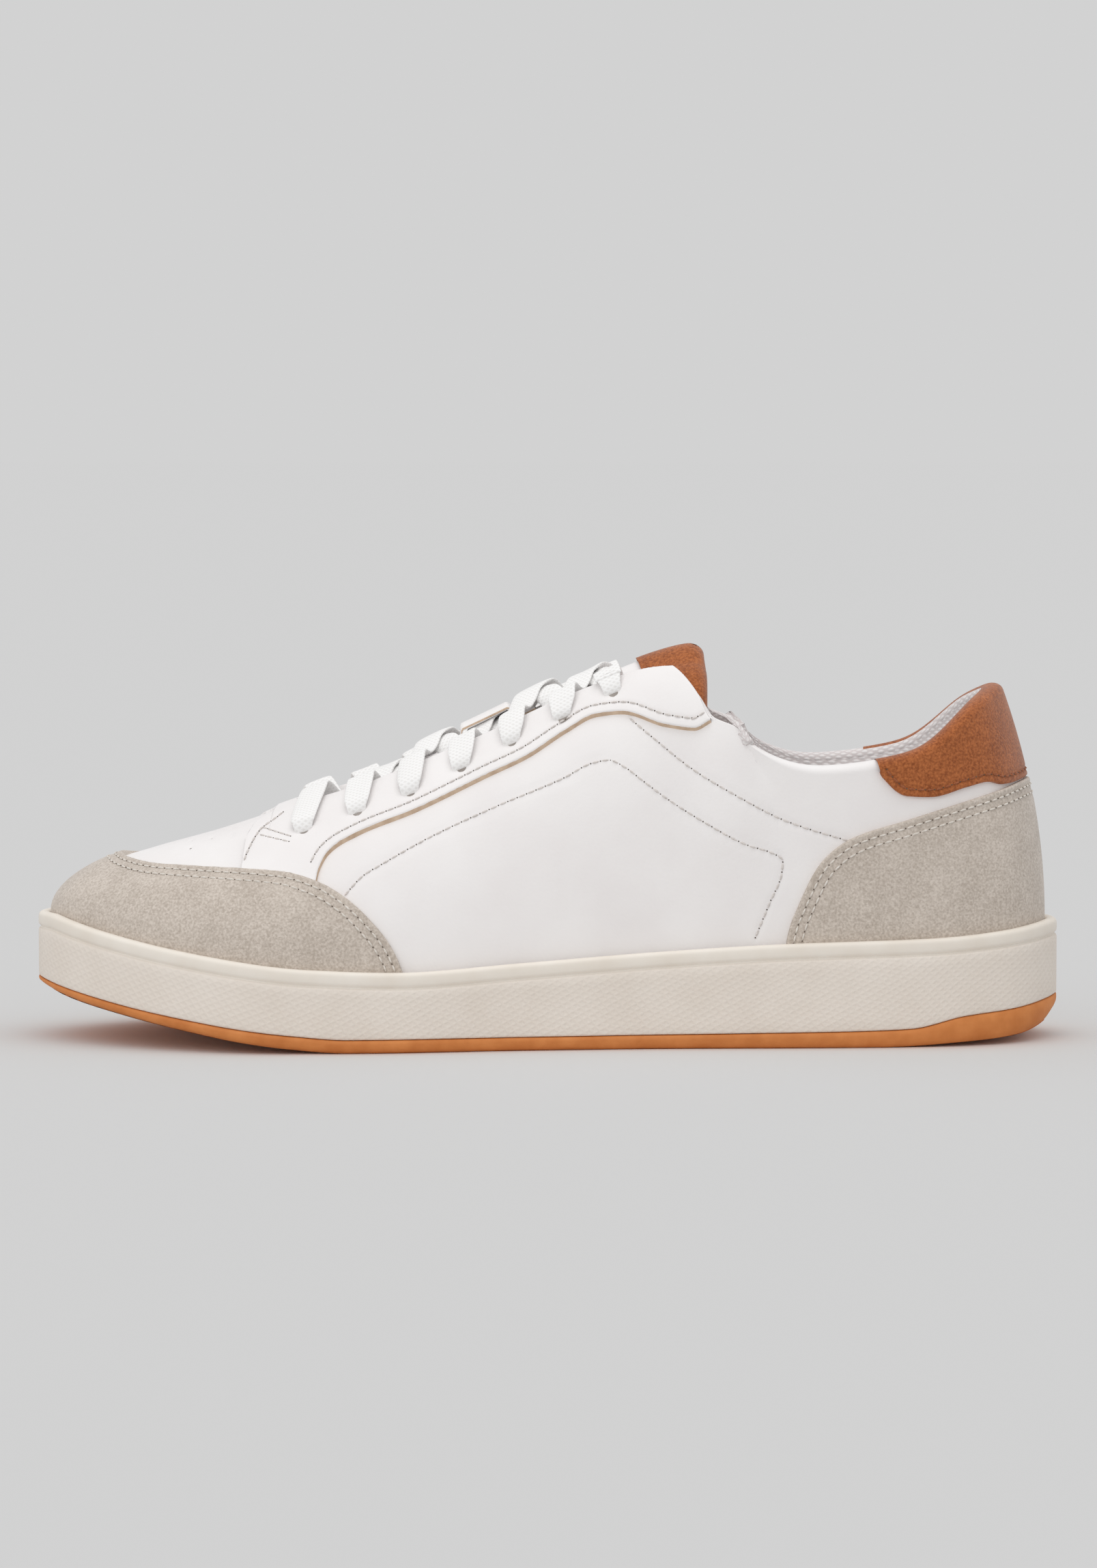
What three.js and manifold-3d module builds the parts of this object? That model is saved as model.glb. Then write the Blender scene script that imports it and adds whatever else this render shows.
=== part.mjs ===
// Court shoe, left foot: rubber cupsole, layered leather upper, padded tongue and flat lace.
// Millimetres, +Z up, toe towards -X, lateral side towards -Y, origin on the ground under the middle.
import * as THREE from "three";
import { mergeVertices } from "three/addons/utils/BufferGeometryUtils.js";
import Module from "manifold-3d";

const wasm = await Module();
wasm.setup();

// ---- driving dimensions ----
const LENGTH = 300; // sole, heel to toe
const WIDTH = 103; // sole, across the ball
const HEIGHT = 116; // ground to the top of the tongue

const GAP = 0.3; // clearance between touching pieces
const OUTSOLE = 3.8; // tread rubber under the foot
const STRIP_WIDTH = 2.4; // the outsole's raised edge
const CUP_WALL = 3.6; // cupsole side wall
const CUP_FLOOR = 7; // ground to the top of the cup's floor, rubber strip included
const BEAD = 4.2; // height of the smooth bead round the rim
const TUCK = 9; // how far the upper goes down inside the cup
const BOARD = 1.4; // strobel board
const INSOLE = 4.5; // sockliner
const LINING = 0.8;
const STIFFENER = 0.8; // toe puff, heel stiffener and eyelet strips
const LEATHER = 1.1; // vamp and quarters
const OVERLAY = 1.2; // toe guard, eyestays, heel pieces
const COLLAR_PAD = 4.5; // foam round the ankle at its thickest
const TONGUE_FACE = 1.0;
const TONGUE_PAD = 3.2;
const TONGUE_LABEL = 0.9;
const TONGUE_RISE = 3.4; // how much the tongue's middle stands above its edges
const THROAT = 13.5; // half width between the eyestays
const HOLES = 7; // lace holes a side
const HOLE_RADIUS = 3;
const LACE_WIDTH = 6;
const LACE_THICKNESS = 1.2;
const LACE_IN_HOLE = 3.8; // width of the bunched lace in a hole
const LACE_TAIL = 14; // end tucked under the eyestay
const KEEPER_LENGTH = 26;
const KEEPER_HALF_WIDTH = 4.5;
const KEEPER_THICKNESS = 1.2;

// The outlines below are drawn for a shoe of this size and scaled to the driving dimensions.
const DRAWN = { length: 300, width: 103, height: 116 };
const SX = LENGTH / DRAWN.length;
const SY = WIDTH / DRAWN.width;
const SZ = HEIGHT / DRAWN.height;

// ---- layer offsets from the outer face of the lining side of the leather ----
const LEATHER_IN = 0;
const LEATHER_OUT = LEATHER;
const OVERLAY_IN = LEATHER_OUT + GAP;
const OVERLAY_OUT = OVERLAY_IN + OVERLAY;
const STIFFENER_OUT = -GAP;
const STIFFENER_IN = STIFFENER_OUT - STIFFENER;
const LINING_OUT = STIFFENER_IN - GAP;
const LINING_IN = LINING_OUT - LINING;
const LACE_SLACK = 0.4; // more room round the lace where it bends under the eyestay
const LACE_UNDER = LINING_IN - GAP - LACE_SLACK - LACE_THICKNESS / 2;
const LACE_OVER = OVERLAY_OUT + GAP + LACE_THICKNESS / 2;
const TONGUE_EDGE = LACE_UNDER - LACE_THICKNESS / 2 - GAP - LACE_SLACK;
const SEAT = CUP_WALL + GAP + OVERLAY_OUT; // sole outline to the leather's inner face

// ---- curves ----
// A cubic through the points that never overshoots them.
function monotone(points) {
  const x = points.map((p) => p[0]);
  const y = points.map((p) => p[1]);
  const n = x.length;
  const slope = [];
  for (let i = 0; i < n - 1; i++) slope.push((y[i + 1] - y[i]) / (x[i + 1] - x[i]));
  const tangent = [slope[0]];
  for (let i = 1; i < n - 1; i++) {
    const before = x[i] - x[i - 1];
    const after = x[i + 1] - x[i];
    const turns = slope[i - 1] * slope[i] <= 0;
    const mean = (2 * after + before) / slope[i - 1] + (after + 2 * before) / slope[i];
    tangent.push(turns ? 0 : (3 * (before + after)) / mean);
  }
  tangent.push(slope[n - 2]);
  return (at) => {
    const clamped = Math.min(Math.max(at, x[0]), x[n - 1]);
    let i = 0;
    while (i < n - 2 && clamped > x[i + 1]) i++;
    const h = x[i + 1] - x[i];
    const u = (clamped - x[i]) / h;
    const stay = (1 + 2 * u) * (1 - u) ** 2 * y[i] + u * u * (3 - 2 * u) * y[i + 1];
    return stay + u * (1 - u) * h * ((1 - u) * tangent[i] - u * tangent[i + 1]);
  };
}

function smooth(low, high, value) {
  const u = Math.min(Math.max((value - low) / (high - low), 0), 1);
  return u * u * (3 - 2 * u);
}

const scaled = (points) => points.map(([x, z]) => [x * SX, z * SZ]);

// Heights along the shoe: rim of the cup, top of the rubber strip, underside.
const rimHeight = monotone(scaled([
  [-145, 36.5], [-132, 33.4], [-111, 29.4], [-90, 26.3], [-69, 24], [-42, 23], [-6, 25.2],
  [30, 27.8], [68, 30], [113, 31.4], [133, 33], [147, 34.6],
]));
const stripHeight = monotone(scaled([
  [-150, 17.6], [-141, 15.6], [-121, 11.7], [-105, 9.1], [-89, 6.8], [-73, 5], [-57, 3.8], [-25, 3.8],
  [84, 4.6], [104, 5.2], [120, 8.6], [135, 10.2], [150, 12.6],
]));
const groundHeight = monotone(scaled([
  [-150, 16.2], [-141, 13.2], [-121, 8.9], [-105, 5.9], [-89, 3.2], [-73, 1.2], [-57, 0],
  [95, 0], [120, 1.2], [136, 2.5], [144.5, 5], [150, 9.6],
]));
const cupFloorHeight = (x) => groundHeight(x) + CUP_FLOOR;
const boardHeight = (x) => rimHeight(x) - TUCK - GAP;

// ---- ribs of the upper ----
// Round the shoe from the toe (0) to the heel (1): lateral and medial points of the sole outline, the
// rib's top (half width and height), its lean there in degrees, and the two handle lengths.
const RIBS = [
  // at, lateral x, y, medial x, y, top x, half y, z, lean, lower handle, upper handle
  [0.0, -150, 0, -150, 0, -119, 0, 52.9, 0, 6.5, 12.3],
  [0.05, -144.5, -14, -144, 16.5, -116.8, 0, 53.5, 0, 7.5, 13],
  [0.115, -131, -28.5, -129, 31, -111, 0, 55.2, 0, 10, 15],
  [0.2, -108, -43, -106, 45.5, -98, 0, 58.7, 0, 15, 20],
  [0.295, -80, -51.5, -79, 51.5, -77, 0, 65.6, 0, 20, 23],
  [0.39, -48, -50, -50, 47.5, -50, 0, 76, 0, 26, 27],
  [0.485, -14, -44, -16, 38.5, -20, 0, 89.5, 0, 32, 28],
  [0.58, 20, -39.8, 18, 33.5, 12, 0, 105, 0, 42, 29],
  [0.615, 32, -38.8, 30, 33, 30, 0, 112.6, 0, 44, 29],
  [0.65, 43, -38.3, 41, 32.7, 43, 0, 115.8, 0, 44, 27],
  [0.68, 56, -37.8, 54, 32.8, 45, 20, 109, 30, 34, 20],
  [0.71, 69, -37.4, 67, 33.3, 51, 27, 93.1, 42, 24, 18],
  [0.78, 89, -36.3, 87, 34.2, 76, 30.5, 79.3, 74, 17, 16],
  [0.87, 113, -33.8, 112, 33, 105, 27, 83.2, 78, 18, 18],
  [0.945, 137, -24.5, 137, 24.5, 123, 17.5, 97, 74, 22, 20],
  [1.0, 150, 0, 150, 0, 131.5, 0, 102.5, 69, 24, 22],
];
const RIDGE_END = 0.65; // ribs up to here meet on the ridge over the instep
const column = (index, scale = 1) => monotone(RIBS.map((rib) => [rib[0], rib[index] * scale]));

// The sole outline runs right round, so its curve is fed with both sides at once.
function outlineCurve(lateral, medial, scale) {
  const left = RIBS.map((rib) => [-rib[0], rib[lateral] * scale]).reverse();
  const right = RIBS.slice(1).map((rib) => [rib[0], rib[medial] * scale]);
  const round = [...left, ...right];
  const before = round.slice(-3, -1).map(([at, value]) => [at - 2, value]);
  const after = round.slice(1, 3).map(([at, value]) => [at + 2, value]);
  return monotone([...before, ...round, ...after]);
}
const outlineX = outlineCurve(1, 3, SX);
const outlineY = outlineCurve(2, 4, SY);
const topX = column(5, SX);
const topY = column(6, SY);
const topZ = column(7, SZ);
const topLean = column(8);
const lowerHandle = column(9, SZ);
const upperHandle = column(10, SY);

const wrap = (v) => (v > 1 ? v - 2 : v < -1 ? v + 2 : v);

// Sole outline at v (-1 heel, negative lateral, 0 toe, positive medial, 1 heel), moved inwards.
function outline(v, inset) {
  const step = 0.004;
  const ahead = wrap(v + step);
  const behind = wrap(v - step);
  const dx = outlineX(ahead) - outlineX(behind);
  const dy = outlineY(ahead) - outlineY(behind);
  const size = Math.hypot(dx, dy);
  return [outlineX(v) + (dy / size) * inset, outlineY(v) - (dx / size) * inset];
}

// A point of the upper: t from -1 (bottom edge inside the cup) through 0 (rim) to 1 (top of the rib).
function upperPoint(v, t) {
  const at = Math.abs(v);
  const side = v < 0 ? -1 : 1;
  const [x, y] = outline(v, SEAT);
  const rim = rimHeight(outlineX(v));
  if (t <= 0) return new THREE.Vector3(x, y, rim + t * TUCK);
  const foot = new THREE.Vector3(x, y, rim);
  const top = new THREE.Vector3(topX(at), side * topY(at), topZ(at));
  const inward = new THREE.Vector2(top.x - x, top.y - y).normalize();
  const ridgeSlope = (topZ(at + 0.01) - topZ(at - 0.01)) / (topX(at + 0.01) - topX(at - 0.01));
  const lean = THREE.MathUtils.degToRad(topLean(at));
  const climb = at < RIDGE_END ? inward.x * ridgeSlope * (1 - smooth(0.6, RIDGE_END, at)) : 0;
  const arrive = new THREE.Vector3(inward.x, inward.y, climb).normalize().multiplyScalar(Math.cos(lean));
  arrive.z += Math.sin(lean);
  const lower = foot.clone().add(new THREE.Vector3(0, 0, lowerHandle(at)));
  const upper = top.clone().addScaledVector(arrive.normalize(), -upperHandle(at));
  return new THREE.CubicBezierCurve3(foot, lower, upper, top).getPoint(t);
}

function upperNormal(v, place) {
  const step = 0.004;
  const onRidge = place > 1 - 1e-6 && Math.abs(v) <= RIDGE_END;
  const t = Math.abs(v) > RIDGE_END ? Math.min(place, 0.9) : place; // steady along the topline
  const along = upperPoint(wrap(v + step), t).sub(upperPoint(wrap(v - step), t));
  const up = upperPoint(v, Math.min(t + step, 1)).sub(upperPoint(v, t - step));
  const normal = up.cross(along).normalize();
  if (onRidge) {
    const at = Math.max(Math.abs(v), step);
    normal.set(-(topZ(at + step) - topZ(at - step)), 0, topX(at + step) - topX(at - step)).normalize();
  }
  return normal;
}

const upperAt = (v, t, offset) => upperPoint(v, t).addScaledVector(upperNormal(v, t), offset);

// The place on the upper whose two chosen coordinates are given, found by Newton steps.
function findOnUpper(first, second, wanted, offset, start) {
  let [v, t] = start;
  const step = 1e-3;
  for (let i = 0; i < 30; i++) {
    const here = upperAt(v, t, offset);
    const byV = upperAt(v + step, t, offset).sub(here).divideScalar(step);
    const byT = upperAt(v, t - step, offset).sub(here).divideScalar(-step);
    const error = [wanted[0] - here[first], wanted[1] - here[second]];
    const det = byV[first] * byT[second] - byT[first] * byV[second];
    v += THREE.MathUtils.clamp((error[0] * byT[second] - byT[first] * error[1]) / det, -0.04, 0.04);
    t += THREE.MathUtils.clamp((byV[first] * error[1] - error[0] * byV[second]) / det, -0.08, 0.08);
    t = Math.min(t, 0.9999);
  }
  return [v, t];
}

// ---- solids ----
function geometryOf(vertices, triangles) {
  const geometry = new THREE.BufferGeometry();
  geometry.setAttribute("position", new THREE.Float32BufferAttribute(vertices, 3));
  geometry.setIndex(triangles);
  return geometry;
}

function toManifold(geometry) {
  const bare = geometry.clone();
  bare.deleteAttribute("normal");
  bare.deleteAttribute("uv");
  const merged = mergeVertices(bare, 1e-4);
  const vertProperties = new Float32Array(merged.attributes.position.array);
  const triVerts = new Uint32Array(merged.index.array);
  return new wasm.Manifold(new wasm.Mesh({ numProp: 3, vertProperties, triVerts }));
}

function fromManifold(solid) {
  const mesh = solid.getMesh();
  const geometry = new THREE.BufferGeometry();
  geometry.setAttribute("position", new THREE.BufferAttribute(new Float32Array(mesh.vertProperties), 3));
  geometry.setIndex(new THREE.BufferAttribute(new Uint32Array(mesh.triVerts), 1));
  return geometry;
}

// A closed solid from shared points: faces are given as quads or triangles of point keys.
class Builder {
  constructor() {
    this.keys = new Map();
    this.vertices = [];
    this.triangles = [];
  }
  point(p) {
    const key = p.toArray().map((value) => Math.round(value * 1e4) || 0).join(" ");
    if (!this.keys.has(key)) {
      this.keys.set(key, this.vertices.length / 3);
      this.vertices.push(p.x, p.y, p.z);
    }
    return this.keys.get(key);
  }
  triangle(a, b, c) {
    const [i, j, k] = [this.point(a), this.point(b), this.point(c)];
    if (i !== j && j !== k && k !== i) this.triangles.push(i, j, k);
  }
  quad(a, b, c, d) {
    this.triangle(a, b, c);
    this.triangle(a, c, d);
  }
  geometry() {
    return geometryOf(this.vertices, this.triangles);
  }
}

// A shell between two surfaces over a grid of rows and columns. `closed` joins the last column to the
// first, and `seam` tells where the two halves of the top row lie on each other and need no wall.
function shellGrid(inner, outer, closed, seam = () => false) {
  const builder = new Builder();
  const columns = outer.length;
  const rows = outer[0].length;
  const last = closed ? columns : columns - 1;
  for (let i = 0; i < last; i++) {
    const j = (i + 1) % columns;
    for (let k = 0; k < rows - 1; k++) {
      builder.quad(outer[j][k], outer[i][k], outer[i][k + 1], outer[j][k + 1]);
      builder.quad(inner[j][k], inner[j][k + 1], inner[i][k + 1], inner[i][k]);
    }
    builder.quad(inner[j][0], inner[i][0], outer[i][0], outer[j][0]);
    const top = rows - 1;
    if (!seam(i, j)) builder.quad(outer[j][top], outer[i][top], inner[i][top], inner[j][top]);
  }
  if (!closed) {
    for (let k = 0; k < rows - 1; k++) {
      builder.quad(outer[0][k], inner[0][k], inner[0][k + 1], outer[0][k + 1]);
      builder.quad(inner[last][k], outer[last][k], outer[last][k + 1], inner[last][k + 1]);
    }
  }
  return builder.geometry();
}

const asFunction = (offset) => (typeof offset === "number" ? () => offset : offset);

// Column places round the shoe: each rib interval is cut into a few steps.
const STEPS = [2, 2, 2, 2, 2, 2, 2, 1, 1, 2, 2, 2, 2, 2, 2];
const SIDE = RIBS.slice(0, -1).flatMap((rib, i) => {
  const width = RIBS[i + 1][0] - rib[0];
  return Array.from({ length: STEPS[i] }, (_, k) => rib[0] + (width * k) / STEPS[i]);
});
const ROUND = [...SIDE.slice(1).reverse().map((v) => -v), ...SIDE, 1];
const ROWS = [-1, 0, 0.16, 0.33, 0.5, 0.66, 0.8, 0.91, 1];

// The whole upper between two offsets, all the way round.
function wrapShell(inner, outer) {
  const low = asFunction(inner);
  const high = asFunction(outer);
  const grid = (offset) => ROUND.map((v) => ROWS.map((t) => upperAt(v, t, offset(v, t))));
  const seam = (i, j) => Math.abs(ROUND[i]) <= RIDGE_END && Math.abs(ROUND[j]) <= RIDGE_END;
  return toManifold(shellGrid(grid(low), grid(high), true, seam));
}

// A patch of the upper round the toe or the heel, on the same rows and columns as the whole shells.
function patchShell(places, low, high, inner, outer) {
  const heights = ROWS.filter((t) => t >= low && t <= high);
  const inside = asFunction(inner);
  const outside = asFunction(outer);
  const grid = (offset) => places.map((v) => heights.map((t) => upperAt(v, t, offset(v, t))));
  return shellGrid(grid(inside), grid(outside), false);
}
const roundToe = (reach) => ROUND.filter((v) => Math.abs(v) <= reach);
const roundHeel = (reach) => [...ROUND.filter((v) => v >= reach), ...ROUND.filter((v) => v <= -reach)];

// A slab of the sole: rings of [inset, height(x)] from the middle of its underside to that of its top.
function soleSlab(rings) {
  const builder = new Builder();
  const ringPoint = (v, [inset, height]) => {
    const [x, y] = outline(v, inset);
    return new THREE.Vector3(x, y, height(outlineX(v)));
  };
  const grid = rings.map((ring) => ROUND.map((v) => ringPoint(v, ring)));
  const count = ROUND.length;
  for (let r = 0; r < rings.length - 1; r++) {
    for (let i = 0; i < count; i++) {
      const j = (i + 1) % count;
      builder.quad(grid[r][j], grid[r][i], grid[r + 1][i], grid[r + 1][j]);
    }
  }
  const bottom = grid[0];
  const top = grid[rings.length - 1];
  const toe = count / 2 - 1;
  for (let k = 0; k <= toe; k++) {
    const [a, b] = [toe - k, toe - k - 1].map((i) => (i + count) % count);
    const [c, d] = [toe + k, toe + k + 1];
    builder.quad(bottom[b], bottom[a], bottom[c], bottom[d]);
    builder.quad(top[a], top[b], top[d], top[c]);
  }
  return builder.geometry();
}

// A prism along Y or Z from an outline drawn in the other two axes.
function sidePrism(points, yFrom, yTo) {
  const shape = new THREE.Shape(points.map(([x, z]) => new THREE.Vector2(x * SX, z * SZ)));
  const geometry = new THREE.ExtrudeGeometry(shape, { depth: yTo - yFrom, bevelEnabled: false });
  geometry.rotateX(Math.PI / 2);
  geometry.translate(0, yTo, 0);
  return toManifold(geometry);
}

function planPrism(points) {
  const shape = new THREE.Shape(points.map(([x, y]) => new THREE.Vector2(x * SX, y)));
  const geometry = new THREE.ExtrudeGeometry(shape, { depth: HEIGHT, bevelEnabled: false });
  geometry.translate(0, 0, HEIGHT / 3);
  return toManifold(geometry);
}

// A smooth line through a few points, for a panel's edge.
function edgeLine(points, count) {
  const curve = new THREE.SplineCurve(points.map(([x, z]) => new THREE.Vector2(x, z)));
  return curve.getSpacedPoints(count).map((p) => [p.x, p.y]);
}

// ---- panel edges, seen from the side ----
const BELOW = -5; // below every solid
const ABOVE = 150; // above every solid
const BEYOND = 170; // past the toe and the heel
const PANEL_GAP = 0.5; // between panels that meet edge to edge

const guardEdge = edgeLine([
  [-127.3, 52], [-121.4, 50.1], [-111, 49.4], [-90, 49.8], [-76, 49.4], [-66, 47.2], [-58.5, 43.5],
  [-51, 37.2], [-44, 27.9], [-39, 12],
], 22);
const counterEdge = edgeLine([
  [67, 15], [68.3, 30.5], [71.5, 40.3], [78.8, 53.7], [87, 60], [102.6, 65], [123, 71], [144.3, 76.4],
], 18);
const collarEdge = edgeLine([
  [94, 81], [96.6, 76.2], [102.7, 71.8], [109.6, 71.3], [120, 73.8], [126, 74.9],
], 10);
const eyestayLower = edgeLine([
  [-66.6, 49], [-62.7, 55.4], [-55, 60.2], [-38, 67.1], [-17, 77.2], [-6, 82.4], [5.6, 89.8], [14, 94.2],
  [22, 95.2], [33.5, 92], [42, 91], [47.5, 93.6],
], 26);
const eyestayRear = edgeLine([[47.5, 93.6], [43.5, 100.2], [36.5, 107.4], [29, 111.2]], 6);
const eyestayFront = edgeLine([[-77, 70], [-78.2, 65.6], [-84.8, 60.8], [-88.7, 53.4], [-89.6, 50.8]], 8);
const throatHalf = monotone([
  [-73, 0], [-72, 5], [-69, 8.5], [-62, 11.5], [-50, THROAT], [0, THROAT], [25, THROAT + 1.5], [45, THROAT + 4],
  [70, THROAT + 5],
]);
const throatOutline = [-73, -72, -69, -65, -58, -50, -25, 0, 25, 45, 70].map((x) => [x, throatHalf(x)]);
const throat = planPrism([...throatOutline, ...throatOutline.slice(1).reverse().map(([x, y]) => [x, -y])]);

// ---- lace holes ----
const SIDES = [["lateral", -1], ["medial", 1]];
const holeRow = new THREE.SplineCurve(
  [[-70.6, 62.3], [-40, 73.1], [-11, 87.3], [18.5, 101.6]].map(([x, z]) => new THREE.Vector2(x * SX, z * SZ)),
).getSpacedPoints(HOLES - 1);

function laceHole(index, side) {
  const { x, y: z } = holeRow[index];
  const start = [side * (0.32 + (0.3 * index) / (HOLES - 1)), 0.8];
  const [v, t] = findOnUpper("x", "z", [x, z], OVERLAY_OUT, start);
  return { side, centre: upperPoint(v, t), normal: upperNormal(v, t) };
}
const holes = Object.fromEntries(SIDES.map(([name, side]) => {
  return [name, holeRow.map((_, index) => laceHole(index, side))];
}));

function holeCutter({ centre, normal }) {
  const reach = 12;
  const geometry = new THREE.CylinderGeometry(HOLE_RADIUS, HOLE_RADIUS, reach, 6);
  geometry.applyQuaternion(new THREE.Quaternion().setFromUnitVectors(new THREE.Vector3(0, 1, 0), normal));
  geometry.translate(centre.x, centre.y, centre.z);
  return toManifold(geometry);
}
const holeCutters = wasm.Manifold.union([...holes.lateral, ...holes.medial].map(holeCutter));

// ---- materials and the assembly ----
const shoe = new THREE.Group();

function add(name, shape, color, roughness) {
  const geometry = shape instanceof THREE.BufferGeometry ? shape : fromManifold(shape);
  const mesh = new THREE.Mesh(geometry, new THREE.MeshStandardMaterial({ color, roughness, metalness: 0 }));
  mesh.name = name;
  shoe.add(mesh);
}

const WHITE_LEATHER = "#f3efee";
const GREY_SUEDE = "#c6bbae";
const TAN_SUEDE = "#a35a33";
const CREAM_RUBBER = "#e6d9cd";
const GUM_RUBBER = "#cc7d4b";
const WHITE_MESH = "#e9e3e2";
const FOAM = "#d9d4cb";
const BOARD_GREY = "#b9b4ac";
const WHITE_LACE = "#f7f6f5";

// ---- sole ----
const between = (share) => (x) => groundHeight(x) + share * (stripHeight(x) - groundHeight(x));
const outsoleTop = (x) => Math.min(stripHeight(x), groundHeight(x) + OUTSOLE);
const outsoleShape = soleSlab([
  [1.8, groundHeight], [0.3, between(0.3)], [0, between(0.7)], [0.6, stripHeight],
  [STRIP_WIDTH, stripHeight], [STRIP_WIDTH, outsoleTop],
]);
add("outsole", outsoleShape, GUM_RUBBER, 0.7);

const above = (height, lift) => (x) => height(x) + lift;
const cupsoleShape = soleSlab([
  [STRIP_WIDTH + GAP, above(outsoleTop, GAP)],
  [STRIP_WIDTH + GAP, above(stripHeight, GAP)],
  [0.7, above(stripHeight, GAP)],
  [0, above(stripHeight, 2.2)],
  [0.1, above(rimHeight, -BEAD - 1.4)],
  [0.9, above(rimHeight, -BEAD - 0.5)],
  [0.1, above(rimHeight, -BEAD + 0.6)],
  [0.1, above(rimHeight, -1.4)],
  [1.1, above(rimHeight, -0.2)],
  [2.4, rimHeight],
  [CUP_WALL, above(rimHeight, -1)],
  [CUP_WALL, cupFloorHeight],
]);
add("cupsole", cupsoleShape, CREAM_RUBBER, 0.6);

const insideCup = CUP_WALL + GAP;
const foamTop = (x) => boardHeight(x) - BOARD - GAP;
add("midsole_foam", soleSlab([
  [insideCup, above(cupFloorHeight, GAP)], [insideCup, foamTop],
]), FOAM, 0.9);
add("strobel_board", soleSlab([
  [insideCup, above(foamTop, GAP)], [insideCup, boardHeight],
]), BOARD_GREY, 0.9);

const insideLining = SEAT - LINING_IN + 0.6;
add("sockliner", soleSlab([
  [insideLining + 0.8, above(boardHeight, GAP)],
  [insideLining, above(boardHeight, GAP + 1)],
  [insideLining, above(boardHeight, GAP + INSOLE - 1)],
  [insideLining + 1.2, above(boardHeight, GAP + INSOLE)],
]), WHITE_MESH, 0.9);

// ---- upper: linings and stiffeners ----
const PAD_FROM = 0.76; // collar padding starts here on each side
const padding = (v, t) => {
  const across = smooth(PAD_FROM - 0.05, PAD_FROM + 0.06, Math.abs(v));
  return COLLAR_PAD * across * smooth(0.48, 0.78, t) * (1 - 0.45 * smooth(0.85, 1, t));
};
const SEAM_FRONT = [[-78, 75], [-71, 49], [-60, 5]]; // vamp to quarter, under the eyestay and toe guard
const front = [[-BEYOND, BELOW], [-BEYOND, ABOVE], [-78, ABOVE], ...SEAM_FRONT, [-60, BELOW]];
const rear = [[BEYOND, BELOW], [BEYOND, ABOVE], [-78, ABOVE], ...SEAM_FRONT, [-60, BELOW]]
  .map(([x, z]) => [x < 0 ? x + PANEL_GAP : x, z]);
const acrossAll = WIDTH;
const frontHalf = sidePrism(front, -acrossAll, acrossAll);
const rearHalf = sidePrism(rear, -acrossAll, acrossAll);
const underTopEdge = [
  [-BEYOND, BELOW], [-BEYOND, 90], [20, ABOVE], [29, 112], ...eyestayRear.slice(0, -1).reverse(),
  [56, 93], [63, ABOVE], [BEYOND, ABOVE], [BEYOND, BELOW],
];
const trimTop = sidePrism(underTopEdge, -acrossAll, acrossAll);

const liningShell = wrapShell((v, t) => LINING_IN - padding(v, t), (v, t) => LINING_OUT - padding(v, t))
  .subtract(throat).intersect(trimTop).subtract(holeCutters);
add("vamp_lining", liningShell.intersect(frontHalf), WHITE_MESH, 0.9);
add("quarter_lining", liningShell.intersect(rearHalf), WHITE_MESH, 0.9);

add("toe_puff", patchShell(roundToe(0.25), -1, 0.5, STIFFENER_IN, STIFFENER_OUT), BOARD_GREY, 0.8);
add("heel_stiffener", patchShell(roundHeel(0.82), -1, 0.5, STIFFENER_IN, STIFFENER_OUT), BOARD_GREY, 0.8);
const padInner = (v, t) => LINING_OUT + GAP - padding(v, t);
add("collar_foam", patchShell(roundHeel(PAD_FROM), 0.6, 0.95, padInner, STIFFENER_OUT), FOAM, 0.9);

// ---- upper: leather ----
const leatherShell = wrapShell(LEATHER_IN, LEATHER_OUT).subtract(throat).intersect(trimTop);
const HEEL_SEAM = 0.25; // half of the gap at the back seam and at the ridge
const halfSpan = (side) => (side < 0 ? [-acrossAll, -HEEL_SEAM] : [HEEL_SEAM, acrossAll]);
add("vamp", leatherShell.intersect(frontHalf), WHITE_LEATHER, 0.5);
const quarters = leatherShell.intersect(rearHalf).subtract(holeCutters);
for (const [name, side] of SIDES) {
  const half = sidePrism([[-BEYOND, BELOW], [-BEYOND, ABOVE], [BEYOND, ABOVE], [BEYOND, BELOW]], ...halfSpan(side));
  add(`quarter_${name}`, quarters.intersect(half), WHITE_LEATHER, 0.5);
}

// ---- upper: overlays ----
const overlayShell = wrapShell(OVERLAY_IN, OVERLAY_OUT);
const eyestayOutline = [
  ...eyestayLower, ...eyestayRear.slice(1), [20, ABOVE], [-77, ABOVE], ...eyestayFront,
  [-80, 50.8], [-72, 49.9],
];
const stripOutline = [
  [-74, 57], [-54, 61], [-40, 67], [-25, 74], [-10, 81], [4, 89], [18, 95.5], [30, 101], [34, 108],
  [28, ABOVE], [-74, ABOVE],
];
const eyestays = overlayShell.subtract(throat).subtract(holeCutters);
const strips = wrapShell(STIFFENER_IN, STIFFENER_OUT).subtract(throat).subtract(holeCutters);
for (const [name, side] of SIDES) {
  add(`eyestay_${name}`, eyestays.intersect(sidePrism(eyestayOutline, ...halfSpan(side))), WHITE_LEATHER, 0.5);
  const strip = strips.intersect(sidePrism(stripOutline, ...halfSpan(side)));
  add(`eyelet_strip_${name}`, strip, BOARD_GREY, 0.8);
}

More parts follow.
